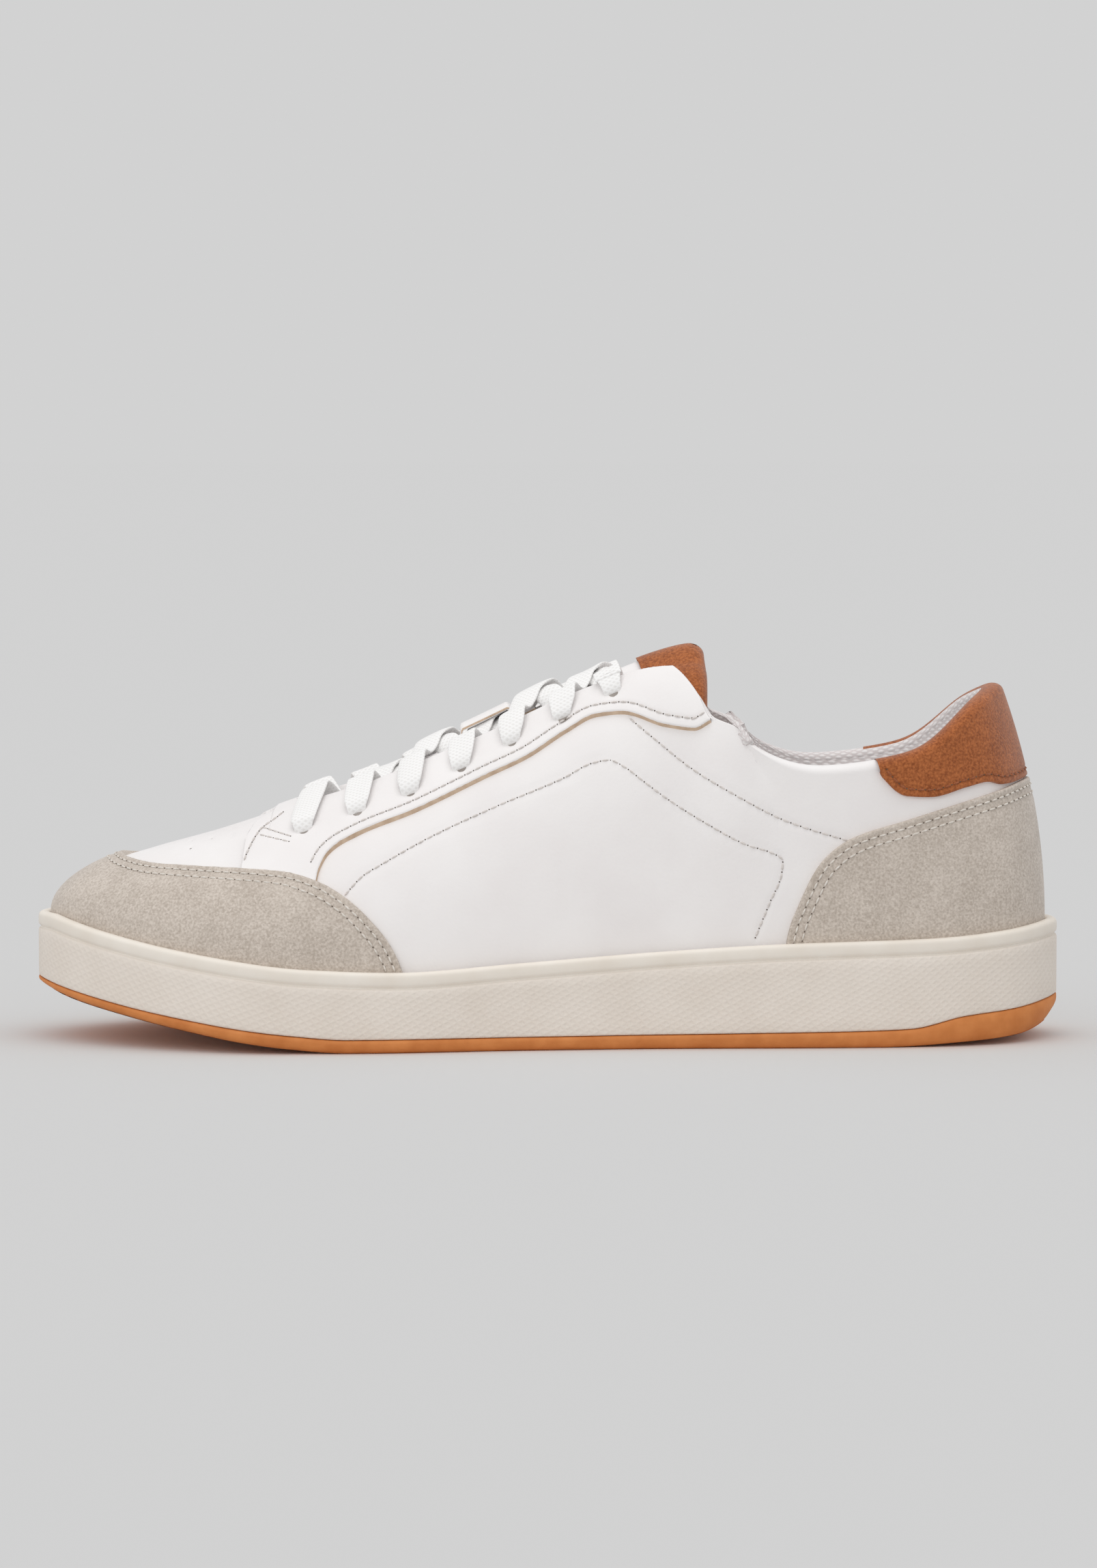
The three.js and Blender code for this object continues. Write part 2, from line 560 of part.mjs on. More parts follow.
const guardOutline = [[-BEYOND, BELOW], [-BEYOND, 60], [-128, 60], ...guardEdge, [-38, BELOW]];
add("toe_guard", overlayShell.intersect(sidePrism(guardOutline, -acrossAll, acrossAll)), GREY_SUEDE, 0.9);
const counterOutline = [[66, BELOW], ...counterEdge, [BEYOND, 78], [BEYOND, BELOW]];
add("heel_counter", overlayShell.intersect(sidePrism(counterOutline, -acrossAll, acrossAll)), GREY_SUEDE, 0.9);
const collarOutline = [
  ...collarEdge, [130.5, 73.8], [144.3, 77.2], [BEYOND, 79], [BEYOND, ABOVE], [93, ABOVE], [93.4, 84],
];
add("heel_collar", overlayShell.intersect(sidePrism(collarOutline, -acrossAll, acrossAll)), TAN_SUEDE, 0.9);

// ---- tongue ----
// Places along the tongue, from its sewn front end under the vamp to its top, and shares of its width.
const TONGUE_PLACES = [0.283, 0.325, 0.365, 0.405, 0.45, 0.5, 0.55, 0.59, 0.615, 0.63, 0.645];
const ACROSS = [-1, -0.9, -0.68, -0.47, -0.33, -0.18, 0, 0.18, 0.33, 0.47, 0.68, 0.9, 1];
const TONGUE_FRONT = TONGUE_PLACES[0];
const tongueHalfWidth = (v) => (24 + 6 * smooth(0.35, RIDGE_END, v)) * SY;
const tongueRise = (v) => TONGUE_RISE * smooth(0.335, 0.41, v);
const tongueFace = (y, v) => TONGUE_EDGE + tongueRise(v) * (1 - smooth(1, THROAT - 2, Math.abs(y)));

function heightAtWidth(v, width) {
  let [low, high] = [0.2, 1];
  for (let i = 0; i < 30; i++) {
    const middle = (low + high) / 2;
    if (Math.abs(upperPoint(v, middle).y) > width) low = middle;
    else high = middle;
  }
  return high;
}

// Points over the instep: `share` runs from the lateral edge (-1) to the medial edge (1).
function insetAcross(v, share, offset) {
  const place = share < 0 ? -v : v;
  const y = tongueHalfWidth(v) * share;
  const t = share === 0 ? 1 : heightAtWidth(place, Math.abs(y));
  return upperAt(place, t, offset(y, v));
}

function tongueLayer(inner, outer, places = TONGUE_PLACES, across = ACROSS) {
  const shares = [...across].reverse();
  const grid = (offset) => places.map((v) => shares.map((share) => insetAcross(v, share, offset)));
  return shellGrid(grid(inner), grid(outer), false);
}
const frontThin = (v) => smooth(TONGUE_FRONT, TONGUE_FRONT + 0.1, v);
const faceIn = (y, v) => tongueFace(y, v) - TONGUE_FACE;
const padOut = (y, v) => faceIn(y, v) - GAP;
const padIn = (y, v) => padOut(y, v) - 0.8 - (TONGUE_PAD - 0.8) * frontThin(v);
const meshOut = (y, v) => padIn(y, v) - GAP;
const labelIn = (y, v) => tongueFace(y, v) + GAP;
add("tongue_face", tongueLayer(faceIn, tongueFace), WHITE_LEATHER, 0.5);
add("tongue_foam", tongueLayer(padIn, padOut, TONGUE_PLACES.slice(1, -1), ACROSS.slice(1, -1)), FOAM, 0.9);
add("tongue_lining", tongueLayer((y, v) => meshOut(y, v) - LINING, meshOut), WHITE_MESH, 0.9);
add("tongue_label", tongueLayer(
  labelIn, (y, v) => labelIn(y, v) + TONGUE_LABEL, TONGUE_PLACES.slice(-3), ACROSS.slice(2, -2),
), TAN_SUEDE, 0.9);

// ---- lace ----
const rowDirection = (index) => {
  const last = Math.min(index, HOLES - 2);
  const next = holes.lateral[last + 1].centre.clone().add(holes.medial[last + 1].centre);
  const here = holes.lateral[last].centre.clone().add(holes.medial[last].centre);
  return next.sub(here).normalize();
};

// A point above the upper's surface, found from its place in plan; the height may depend on y and v.
function overInstep(x, y, height) {
  const side = y < 0 ? -1 : 1;
  const guess = 0.3 + (0.35 * (x / SX + 77)) / 120;
  const middle = 0.5; // nearer the ridge than this, the normal is turned upright
  const plan = Math.abs(y) < middle ? side * middle : y;
  const [v, t] = findOnUpper("x", "y", [x, plan], 0, [side * guess, 0.9]);
  const point = upperPoint(v, t);
  point.y = y;
  const normal = upperNormal(v, t);
  if (Math.abs(y) < middle) normal.setComponent(1, (normal.y * Math.abs(y)) / middle).normalize();
  return point.addScaledVector(normal, typeof height === "function" ? height(y, Math.abs(v)) : height);
}

const LACE_CLEAR = GAP + 0.6; // under a strand on the domed tongue
const onTongue = (y, v, lift) => tongueFace(y, v) + LACE_CLEAR + LACE_THICKNESS / 2 + lift;
const STACK = LACE_THICKNESS + GAP + 0.15; // a strand lying over another
const CROSS_EASE = [0.2, 0.8];
const KEEPER_AT = 3; // the crossing above this hole runs under the keeper
const overKeeper = (index) => (Math.abs(index - KEEPER_AT) === 1 ? KEEPER_THICKNESS + 1 : 0);

// The strand that leaves hole `index` on one side and reaches the next hole on the other side.
function strand(from, to, index, over, entersFromAbove) {
  const points = [];
  const reach = Math.abs(from.centre.y);
  const put = (y, height, width = LACE_WIDTH) => {
    const share = 0.5 - y / (2 * reach);
    const eased = 0.5 * share + 0.5 * smooth(...CROSS_EASE, share);
    const x = from.centre.x + (to.centre.x - from.centre.x) * eased;
    const at = overInstep(x, from.side * y, height);
    points.push({ at, width, row: rowDirection(index) });
  };
  const advance = (to.centre.x - from.centre.x) / 4;
  const edge = throatHalf((from.centre.x + advance - LACE_WIDTH / 2) / SX); // where the strand leaves
  const farEdge = throatHalf((to.centre.x - advance - LACE_WIDTH / 2) / SX); // and where it arrives
  const low = (y, v) => onTongue(y, v, 0);
  const middle = (y, v) => onTongue(y, v, overKeeper(index) + (over ? STACK : 0));
  // Down from the hole it left (y from +reach), over the middle, and to the other side (y to -reach).
  const leave = [
    [reach - 1.2, LACE_OVER + 0.1, LACE_IN_HOLE + 0.3], [reach - 3, LACE_OVER + 0.4, LACE_WIDTH - 0.9],
    [edge + 2, LACE_OVER + 0.6], [edge - 1, LACE_OVER + 0.9], [edge - 3.6, (y, v) => middle(y, v) + 1.2],
  ];
  leave.forEach((place) => put(...place));
  const cross = Math.min(5.5, edge - 4.5);
  for (const y of [cross, cross / 2, 0, -cross / 2, -cross]) put(y, middle);
  if (entersFromAbove) {
    leave.reverse().forEach(([y, height, width]) => put(-y, height, width));
  } else {
    put(-farEdge + 3, low);
    put(-farEdge + 1, low);
    put(-farEdge - 2, LACE_UNDER);
    put(-reach + 4.5, LACE_UNDER - 0.1, LACE_WIDTH - 1);
    put(-reach + 1.3, LACE_UNDER, LACE_IN_HOLE + 0.4);
  }
  return points;
}

function throughHole(hole, index, upwards) {
  const heights = [LACE_UNDER + 1.1, OVERLAY_OUT - 0.9];
  const ordered = upwards ? heights : heights.reverse();
  return ordered.map((height) => ({
    at: hole.centre.clone().addScaledVector(hole.normal, height),
    width: LACE_IN_HOLE,
    row: rowDirection(index),
  }));
}

// Half of the lace: from the bar under the first holes up to one tucked end.
function laceHalf(startSide) {
  const { x: barX, y: barY } = holes[startSide][0].centre;
  const barPoint = (share, width) => ({ at: overInstep(barX, barY * share, LACE_UNDER), width, row: rowDirection(0) });
  const points = [
    barPoint(0.2, LACE_WIDTH), barPoint(0.4, LACE_WIDTH), barPoint(0.6, LACE_WIDTH), barPoint(0.8, LACE_WIDTH - 1),
    barPoint(0.93, LACE_IN_HOLE + 0.4), ...throughHole(holes[startSide][0], 0, true),
  ];
  let here = startSide;
  for (let index = 0; index < HOLES - 1; index++) {
    const there = here === "lateral" ? "medial" : "lateral";
    const last = index === HOLES - 2;
    points.push(...strand(holes[here][index], holes[there][index + 1], index, here === "lateral", last));
    points.push(...throughHole(holes[there][index + 1], index + 1, !last));
    here = there;
  }
  const end = holes[here][HOLES - 1];
  for (const share of [0.08, 0.45, 1]) {
    const y = end.centre.y + end.side * (LACE_TAIL * share * 0.55);
    const { x } = end.centre;
    points.push({ at: overInstep(x, y, LACE_UNDER), width: LACE_IN_HOLE + share, row: rowDirection(HOLES - 1) });
  }
  return points;
}

// A flat ribbon along the points, its width lying along the row of holes as far as it can.
function ribbon(points, thickness) {
  const builder = new Builder();
  const sections = points.map((point, i) => {
    const before = points[Math.max(i - 1, 0)].at;
    const after = points[Math.min(i + 1, points.length - 1)].at;
    const along = after.clone().sub(before).normalize();
    const across = point.row.clone().addScaledVector(along, -point.row.dot(along)).normalize();
    const up = along.clone().cross(across);
    const corner = (a, b) => {
      return point.at.clone().addScaledVector(across, (a * point.width) / 2).addScaledVector(up, (b * thickness) / 2);
    };
    return [corner(-1, -1), corner(1, -1), corner(1, 1), corner(-1, 1)];
  });
  for (let i = 0; i < sections.length - 1; i++) {
    for (let k = 0; k < 4; k++) {
      const next = (k + 1) % 4;
      builder.quad(sections[i][k], sections[i][next], sections[i + 1][next], sections[i + 1][k]);
    }
  }
  const [first, last] = [sections[0], sections[sections.length - 1]];
  builder.quad(first[3], first[2], first[1], first[0]);
  builder.quad(last[0], last[1], last[2], last[3]);
  return builder.geometry();
}
const lacePoints = [...laceHalf("lateral").reverse(), ...laceHalf("medial")];
add("lace", ribbon(lacePoints, LACE_THICKNESS), WHITE_LACE, 0.9);

// ---- lace keeper: a leather bridge on the tongue over one crossing ----
function keeperShape() {
  const crossing = holes.lateral[KEEPER_AT].centre.clone().add(holes.lateral[KEEPER_AT + 1].centre);
  const middle = crossing.x / 2;
  const across = [-1, -0.5, 0, 0.5, 1];
  const along = [-1, -0.8, -0.67, -0.6, -0.52, -0.25, 0.25, 0.52, 0.6, 0.67, 0.8, 1];
  const clear = STACK + LACE_CLEAR + LACE_THICKNESS + 0.5; // from the tongue to the bridge's underside
  const grid = (lift) => along.map((share) => across.map((side) => {
    const rise = GAP + (clear - GAP) * (1 - smooth(0.52, 0.67, Math.abs(share)));
    const x = middle + (share * KEEPER_LENGTH) / 2;
    return overInstep(x, side * KEEPER_HALF_WIDTH, (y, v) => tongueFace(y, v) + rise + lift);
  }).reverse());
  return shellGrid(grid(0), grid(KEEPER_THICKNESS), false);
}
add("lace_keeper", keeperShape(), WHITE_LEATHER, 0.5);

export default shoe;
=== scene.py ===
"""Looks of the court shoe: each visible piece as a fine mesh over the CAD part, in the CAD's own frame.

Lengths are in millimetres until a mesh is made; toe towards -X, lateral side towards -Y, +Z up.
"""

import math

import bmesh
import bpy
import numpy as np
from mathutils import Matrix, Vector
from mathutils.kdtree import KDTree


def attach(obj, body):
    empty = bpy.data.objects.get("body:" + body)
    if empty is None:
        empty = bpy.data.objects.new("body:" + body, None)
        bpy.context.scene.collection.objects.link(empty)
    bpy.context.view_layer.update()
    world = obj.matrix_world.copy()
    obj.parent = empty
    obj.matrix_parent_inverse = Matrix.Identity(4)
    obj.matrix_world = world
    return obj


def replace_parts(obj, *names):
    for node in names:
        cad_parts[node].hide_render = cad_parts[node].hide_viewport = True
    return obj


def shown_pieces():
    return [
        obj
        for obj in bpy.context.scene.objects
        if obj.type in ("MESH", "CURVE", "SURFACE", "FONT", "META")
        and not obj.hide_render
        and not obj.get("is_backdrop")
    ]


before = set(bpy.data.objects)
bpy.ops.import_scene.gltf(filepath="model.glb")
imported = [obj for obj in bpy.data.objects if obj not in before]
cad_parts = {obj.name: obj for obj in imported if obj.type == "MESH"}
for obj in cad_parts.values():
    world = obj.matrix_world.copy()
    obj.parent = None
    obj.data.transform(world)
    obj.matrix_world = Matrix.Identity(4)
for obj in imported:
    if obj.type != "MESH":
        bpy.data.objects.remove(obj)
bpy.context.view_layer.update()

MM = 0.001

# ---- dimensions, as in the CAD part ----
GAP = 0.3
BEAD = 4.2
TUCK = 9.0
CUP_WALL = 3.6
LEATHER = 1.1
OVERLAY_IN = LEATHER + GAP
OVERLAY = OVERLAY_IN + 1.2
GUARD_OUT = OVERLAY + 0.35
LINING = -2.2
COLLAR_PAD = 4.5
TONGUE_RISE = 3.4
TONGUE_THICK = 5.4
THROAT = 13.5
HOLES = 7
LACE_WIDTH = 8.2
LACE_IN_HOLE = 5.2
LACE_THICKNESS = 1.2
LACE_SLACK = 0.4
LACE_UNDER = LINING - GAP - LACE_SLACK - LACE_THICKNESS / 2
LACE_OVER = OVERLAY + GAP + LACE_THICKNESS / 2
TONGUE_EDGE = LACE_UNDER - LACE_THICKNESS / 2 - GAP - LACE_SLACK
SEAT = CUP_WALL + GAP + OVERLAY
SOCKLINER_TOP = 4.5
THROAT_FRONT = -73

# ---- the collar's rolled edge: its height in full and along the throat ----
ROLL = 1.7
EDGE_REACH = 0.5

# ---- shares of the way from toe to heel where the upper's edges change ----
EDGE_FROM = 0.3
RIDGE_END = 0.65
THROAT_END = 0.67
ROLL_FROM, ROLL_FULL = 0.715, 0.765

# How far down each rib the upper's pieces reach into the cup, as t.
BURIED = -0.35


# ---- curves ----
def monotone(points):
    """A cubic through the points that never overshoots them."""
    x, y = np.array(points, float).T
    width = np.diff(x)
    slope = np.diff(y) / width
    before, after = width[:-1], width[1:]
    left, right = slope[:-1], slope[1:]
    keeps = left * right > 0
    mean = (2 * after + before) / np.where(keeps, left, 1) + (after + 2 * before) / np.where(keeps, right, 1)
    inner = np.where(keeps, 3 * (before + after) / mean, 0)
    tangent = np.concatenate([slope[:1], inner, slope[-1:]])

    def curve(at):
        at = np.clip(at, x[0], x[-1])
        i = np.clip(np.searchsorted(x, at) - 1, 0, len(x) - 2)
        h = width[i]
        u = (at - x[i]) / h
        stay = (1 + 2 * u) * (1 - u) ** 2 * y[i] + u * u * (3 - 2 * u) * y[i + 1]
        return stay + u * (1 - u) * h * ((1 - u) * tangent[i] - u * tangent[i + 1])

    return curve


def smooth(low, high, value):
    u = np.clip((value - low) / (high - low), 0, 1)
    return u * u * (3 - 2 * u)


def unit(vectors):
    return vectors / np.maximum(np.linalg.norm(vectors, axis=-1, keepdims=True), 1e-12)


AROUND = np.linspace(-1, 1, 4001)[:-1]
AROUND_STEP = AROUND[1] - AROUND[0]


def around(values, ease=0.012):
    """A smooth curve round the whole shoe from its values at the AROUND places."""
    reach = int(4 * ease / AROUND_STEP)
    away = np.arange(-reach, reach + 1) * AROUND_STEP / ease
    kernel = np.exp(-0.5 * away**2)
    kernel /= kernel.sum()
    extended = np.concatenate([values[-reach:], values, values[:reach]])
    eased = np.convolve(extended, kernel, mode="valid")
    eased = np.append(eased, eased[0])

    def curve(v):
        place = (np.asarray(v, float) + 1) % 2 / AROUND_STEP
        whole = np.minimum(place.astype(int), len(AROUND) - 1)
        share = place - whole
        return eased[whole] * (1 - share) + eased[whole + 1] * share

    return curve


# Heights along the shoe: rim of the cup, top of the gum strip, underside.
rim_height = monotone([
    [-145, 36.5], [-132, 33.4], [-111, 29.4], [-90, 26.3], [-69, 24], [-42, 23], [-6, 25.2],
    [30, 27.8], [68, 30], [113, 31.4], [133, 33], [147, 34.6],
])
strip_height = monotone([
    [-150, 17.6], [-141, 15.6], [-121, 11.7], [-105, 9.1], [-89, 6.8], [-73, 5], [-57, 3.8], [-25, 3.8],
    [84, 4.6], [104, 5.2], [120, 8.6], [135, 10.2], [150, 12.6],
])
ground_height = monotone([
    [-150, 16.2], [-141, 13.2], [-121, 8.9], [-105, 5.9], [-89, 3.2], [-73, 1.2], [-57, 0],
    [95, 0], [120, 1.2], [136, 2.5], [144.5, 5], [150, 9.6],
])

# Ribs of the upper from toe (0) to heel (1): lateral and medial points of the sole outline, the rib's
# top (half width and height), its lean there in degrees, and its two handle lengths.
RIBS = np.array([
    [0.0, -150, 0, -150, 0, -119, 0, 52.9, 0, 6.5, 12.3],
    [0.05, -144.5, -14, -144, 16.5, -116.8, 0, 53.5, 0, 7.5, 13],
    [0.115, -131, -28.5, -129, 31, -111, 0, 55.2, 0, 10, 15],
    [0.2, -108, -43, -106, 45.5, -98, 0, 58.7, 0, 15, 20],
    [0.295, -80, -51.5, -79, 51.5, -77, 0, 65.6, 0, 20, 23],
    [0.39, -48, -50, -50, 47.5, -50, 0, 76, 0, 26, 27],
    [0.485, -14, -44, -16, 38.5, -20, 0, 89.5, 0, 32, 28],
    [0.58, 20, -39.8, 18, 33.5, 12, 0, 105, 0, 42, 29],
    [0.615, 32, -38.8, 30, 33, 30, 0, 112.6, 0, 44, 29],
    [0.65, 43, -38.3, 41, 32.7, 43, 0, 115.8, 0, 44, 27],
    [0.68, 56, -37.8, 54, 32.8, 45, 20, 109, 30, 34, 20],
    [0.71, 69, -37.4, 67, 33.3, 51, 27, 93.1, 42, 24, 18],
    [0.78, 89, -36.3, 87, 34.2, 76, 30.5, 79.3, 74, 17, 16],
    [0.87, 113, -33.8, 112, 33, 105, 27, 83.2, 78, 18, 18],
    [0.945, 137, -24.5, 137, 24.5, 123, 17.5, 97, 74, 22, 20],
    [1.0, 150, 0, 150, 0, 131.5, 0, 102.5, 69, 24, 22],
])


def outline_curve(lateral, medial):
    left = [(-rib[0], rib[lateral]) for rib in RIBS[::-1]]
    right = [(rib[0], rib[medial]) for rib in RIBS[1:]]
    points = left + right
    before = [(at - 2, value) for at, value in points[-3:-1]]
    after = [(at + 2, value) for at, value in points[1:3]]
    return around(monotone(before + points + after)(AROUND))


def rib_curve(column, odd=False):
    values = monotone(np.stack([RIBS[:, 0], RIBS[:, column]], 1))(np.abs(AROUND))
    return around(values * np.sign(AROUND) if odd else values)


outline_x = outline_curve(1, 3)
outline_y = outline_curve(2, 4)
top_x = rib_curve(5)
top_y = rib_curve(6, odd=True)
top_z = rib_curve(7)
top_lean = rib_curve(8)
lower_handle = rib_curve(9)
upper_handle = rib_curve(10)


def outline(v, inset):
    """The sole's outline at v (-1 heel, negative lateral, 0 toe, positive medial, 1 heel), moved inwards."""
    step = 0.004
    dx = outline_x(v + step) - outline_x(v - step)
    dy = outline_y(v + step) - outline_y(v - step)
    size = np.hypot(dx, dy)
    return outline_x(v) + dy / size * inset, outline_y(v) - dx / size * inset


def from_toe(v):
    return np.abs((v + 1) % 2 - 1)


def upper_point(v, t):
    """A point of the upper: t from -1 (inside the cup) through 0 (rim) to 1 (top of the rib)."""
    v, t = np.broadcast_arrays(np.asarray(v, float), np.asarray(t, float))
    at = from_toe(v)
    x, y = outline(v, SEAT)
    rim = rim_height(outline_x(v))
    inward = unit(np.stack([top_x(v) - x, top_y(v) - y], -1))
    behind = np.maximum(at - 0.01, 0)
    ahead = np.minimum(at + 0.01, 1)
    run = top_x(ahead) - top_x(behind)
    ridge_slope = (top_z(ahead) - top_z(behind)) / np.where(np.abs(run) < 1e-6, 1e-6, run)
    climb = inward[..., 0] * ridge_slope * (1 - smooth(0.6, RIDGE_END, at))
    lean = np.radians(top_lean(v))
    arrive = unit(np.stack([inward[..., 0], inward[..., 1], climb], -1)) * np.cos(lean)[..., None]
    arrive[..., 2] += np.sin(lean)
    foot = np.stack([x, y, rim], -1)
    top = np.stack([top_x(v), top_y(v), top_z(v)], -1)
    lower = foot.copy()
    lower[..., 2] += lower_handle(v)
    upper = top - unit(arrive) * upper_handle(v)[..., None]
    u = np.clip(t, 0, 1)[..., None]
    point = (1 - u) ** 3 * foot + 3 * (1 - u) ** 2 * u * lower + 3 * (1 - u) * u**2 * upper + u**3 * top
    point[..., 2] += np.minimum(t, 0) * TUCK
    return point


def upper_normal(v, t):
    v, t = np.broadcast_arrays(np.asarray(v, float), np.asarray(t, float))
    step = 0.004
    at = from_toe(v)
    steady = np.minimum(t, 1 - 0.1 * smooth(0.62, 0.67, at))
    along = upper_point(v + step, steady) - upper_point(v - step, steady)
    up = upper_point(v, np.minimum(steady + step, 1)) - upper_point(v, steady - step)
    normal = unit(np.cross(up, along))
    on_ridge = smooth(0.995, 1, t) * (1 - smooth(0.62, RIDGE_END, at))
    normal[..., 1] *= 1 - on_ridge
    return unit(normal)


def upper_at(v, t, offset):
    """A point `offset` millimetres outside the upper's own surface."""
    return upper_point(v, t) + upper_normal(v, t) * np.asarray(offset, float)[..., None]


def first_guesses(side):
    grid_v, grid_t = np.meshgrid(side * np.linspace(0.01, 0.99, 140), np.linspace(-0.5, 0.999, 60))
    v, t = grid_v.ravel(), grid_t.ravel()
    return v, t, upper_point(v, t)


GUESSES = {side: first_guesses(side) for side in (-1, 1)}


def locate(axes, wanted, side, offset):
    """The places (v, t) on one side of the upper whose two chosen coordinates are given."""
    wanted = np.asarray(wanted, float)
    v, t, seen = GUESSES[side]
    nearest = ((wanted[:, None] - seen[None][..., axes]) ** 2).sum(-1).argmin(1)
    v, t = v[nearest], t[nearest]
    offset = np.broadcast_to(offset, v.shape)
    step = 1e-3
    for _ in range(14):
        here = upper_at(v, t, offset)[:, axes]
        by_v = (upper_at(v + step, t, offset)[:, axes] - here) / step
        by_t = (here - upper_at(v, t - step, offset)[:, axes]) / step
        error = wanted - here
        det = by_v[:, 0] * by_t[:, 1] - by_t[:, 0] * by_v[:, 1]
        det = np.where(np.abs(det) < 1e-6, 1e-6, det)
        v = v + np.clip((error[:, 0] * by_t[:, 1] - by_t[:, 0] * error[:, 1]) / det, -0.02, 0.02)
        t = t + np.clip((by_v[:, 0] * error[:, 1] - error[:, 0] * by_v[:, 1]) / det, -0.04, 0.04)
        t = np.clip(t, -0.9, 0.9999)
    return v, t


def slide(v, t, move):
    """The places reached from (v, t) by small moves in space, kept on the upper."""
    target = upper_point(v, t) + move
    step = 1e-3
    for _ in range(4):
        here = upper_point(v, t)
        by_v = (upper_point(v + step, t) - here) / step
        by_t = (here - upper_point(v, t - step)) / step
        error = target - here
        vv, tt, vt = (by_v**2).sum(-1), (by_t**2).sum(-1), (by_v * by_t).sum(-1)
        ev, et = (error * by_v).sum(-1), (error * by_t).sum(-1)
        det = vv * tt - vt**2
        v = v + (ev * tt - et * vt) / det
        t = np.minimum(t + (et * vv - ev * vt) / det, 0.9999)
    return v, t


# ---- panel edges, seen from the side ----
FAR = 400.0
guard_edge = monotone([
    [-160, 52], [-127.3, 52], [-121.4, 50.6], [-111, 49.8], [-90, 49.8], [-76, 49.4], [-66, 47.2],
    [-58.5, 43.5], [-51, 37.2], [-44, 27.9], [-39, 12], [-37, 0],
])
counter_edge = monotone([
    [66, -40], [67, 15], [68.3, 30.5], [71.5, 40.3], [78.8, 53.7], [87, 60], [102.6, 65], [123, 71],
    [144.3, 76.4], [150, 77],
])
collar_edge = monotone([
    [93, FAR], [94, 82], [96.6, 76.4], [102.7, 72], [109.6, 71.6], [120, 74.2], [126, 75.4],
    [130.5, 74.4], [144.3, 77.4], [150, 78],
])
eyestay_lower = monotone([
    [-95, 46.5], [-80, 46.4], [-72, 46], [-67, 45.2], [-65.6, 50.5], [-62.7, 55.4], [-55, 60.2],
    [-38, 67.1], [-17, 77.2], [-6, 82.4], [5.6, 89.8], [14, 94.2], [22, 95.2], [33.5, 92], [42, 91],
    [47.5, 93.6],
])
eyestay_front = monotone([
    [-91, 40], [-89.6, 50.8], [-88.7, 53.4], [-84.8, 60.8], [-78.2, 65.6], [-77, 70], [-76.5, FAR],
])
eyestay_rear = monotone([[28.6, FAR], [29, 111.2], [36.5, 107.4], [43.5, 100.2], [47.5, 93.6], [60, 93]])
under_top = monotone([
    [28.6, FAR], [29, 111.2], [36.5, 107.4], [43.5, 100.2], [47.5, 94.2], [50.5, 92.9], [53, 91.9],
    [55.5, 90], [57.5, 87.6], [58.2, FAR],
])
throat_half = monotone([
    [-73, 0], [-72, 5], [-69, 8.5], [-62, 11.5], [-50, THROAT], [0, THROAT], [25, THROAT + 1.5],
    [45, THROAT + 4], [70, THROAT + 5],
])


def last_place(low, high, holds, rounds=24):
    """Where a test that holds from low upwards stops holding on the way to high."""
    for _ in range(rounds):
        middle = (low + high) / 2
        still = holds(middle)
        low = np.where(still, middle, low)
        high = np.where(still, high, middle)
    return high


def crossing(v, edge):
    """Where each rib goes up through an edge drawn from the side, as t."""
    def below(t):
        point = upper_point(v, t)
        return point[:, 2] < edge(point[:, 0])

    top = np.ones(v.shape)
    return np.where(below(top), 1.0, last_place(np.full(v.shape, -0.9), top, below))


def throat_edge(v):
    """Where each rib reaches the throat between the eyestays, as t."""
    def outside(t):
        point = upper_point(v, t)
        return np.abs(point[:, 1]) > throat_half(point[:, 0])

    top = np.ones(v.shape)
    in_front = upper_point(v, top)[:, 0] < THROAT_FRONT
    found = last_place(np.full(v.shape, 0.2), top, outside)
    return np.where(in_front | (from_toe(v) > THROAT_END), 1.0, found)


def rib_length(v):
    points = upper_point(v[:, None], np.linspace(0, 1, 16)[None])
    return np.linalg.norm(np.diff(points, axis=1), axis=-1).sum(1)


def roll_start(v):
    """Where the rolled collar begins, a little below the topline."""
    return 1 - (ROLL - EDGE_REACH) * smooth(ROLL_FROM, ROLL_FULL, from_toe(v)) / rib_length(v)


# ---- meshes ----
def make_mesh(name, points, faces, uv=None):
    mesh = bpy.data.meshes.new(name)
    mesh.from_pydata((np.asarray(points).reshape(-1, 3) * MM).tolist(), [], np.asarray(faces).tolist())
    if uv is not None:
        layer = mesh.uv_layers.new(name="UVMap")
        loops = np.empty(len(mesh.loops), dtype=np.int32)
        mesh.loops.foreach_get("vertex_index", loops)
        layer.data.foreach_set("uv", np.asarray(uv, float)[loops].ravel())
    mesh.shade_smooth()
    mesh.validate()
    obj = bpy.data.objects.new(name, mesh)
    bpy.context.collection.objects.link(obj)
    return obj


def merge_close(obj, distance=0.00002):
    """Joins the points of a piece that lie at one place."""
    work = bmesh.new()
    work.from_mesh(obj.data)
    bmesh.ops.remove_doubles(work, verts=work.verts, dist=distance)
    work.to_mesh(obj.data)
    work.free()


def grid_faces(columns, rows, closed=False):
    i = np.arange(columns if closed else columns - 1)
    j = (i + 1) % columns
    k = np.arange(rows - 1)
    a = (i[:, None] * rows + k).ravel()
    b = (j[:, None] * rows + k).ravel()
    return np.stack([a, b, b + 1, a + 1], 1)


def tube_faces(rings, around_count):
    """The faces of a tube, ring by ring."""
    i, k = np.meshgrid(np.arange(rings - 1), np.arange(around_count), indexing="ij")
    a = i * around_count + k
    b = i * around_count + (k + 1) % around_count
    return np.stack([a, b, b + around_count, a + around_count], -1).reshape(-1, 4)


def lengths(points):
    """How far along a line each of its points lies."""
    return np.concatenate([[0], np.cumsum(np.linalg.norm(np.diff(points, axis=0), axis=-1))])


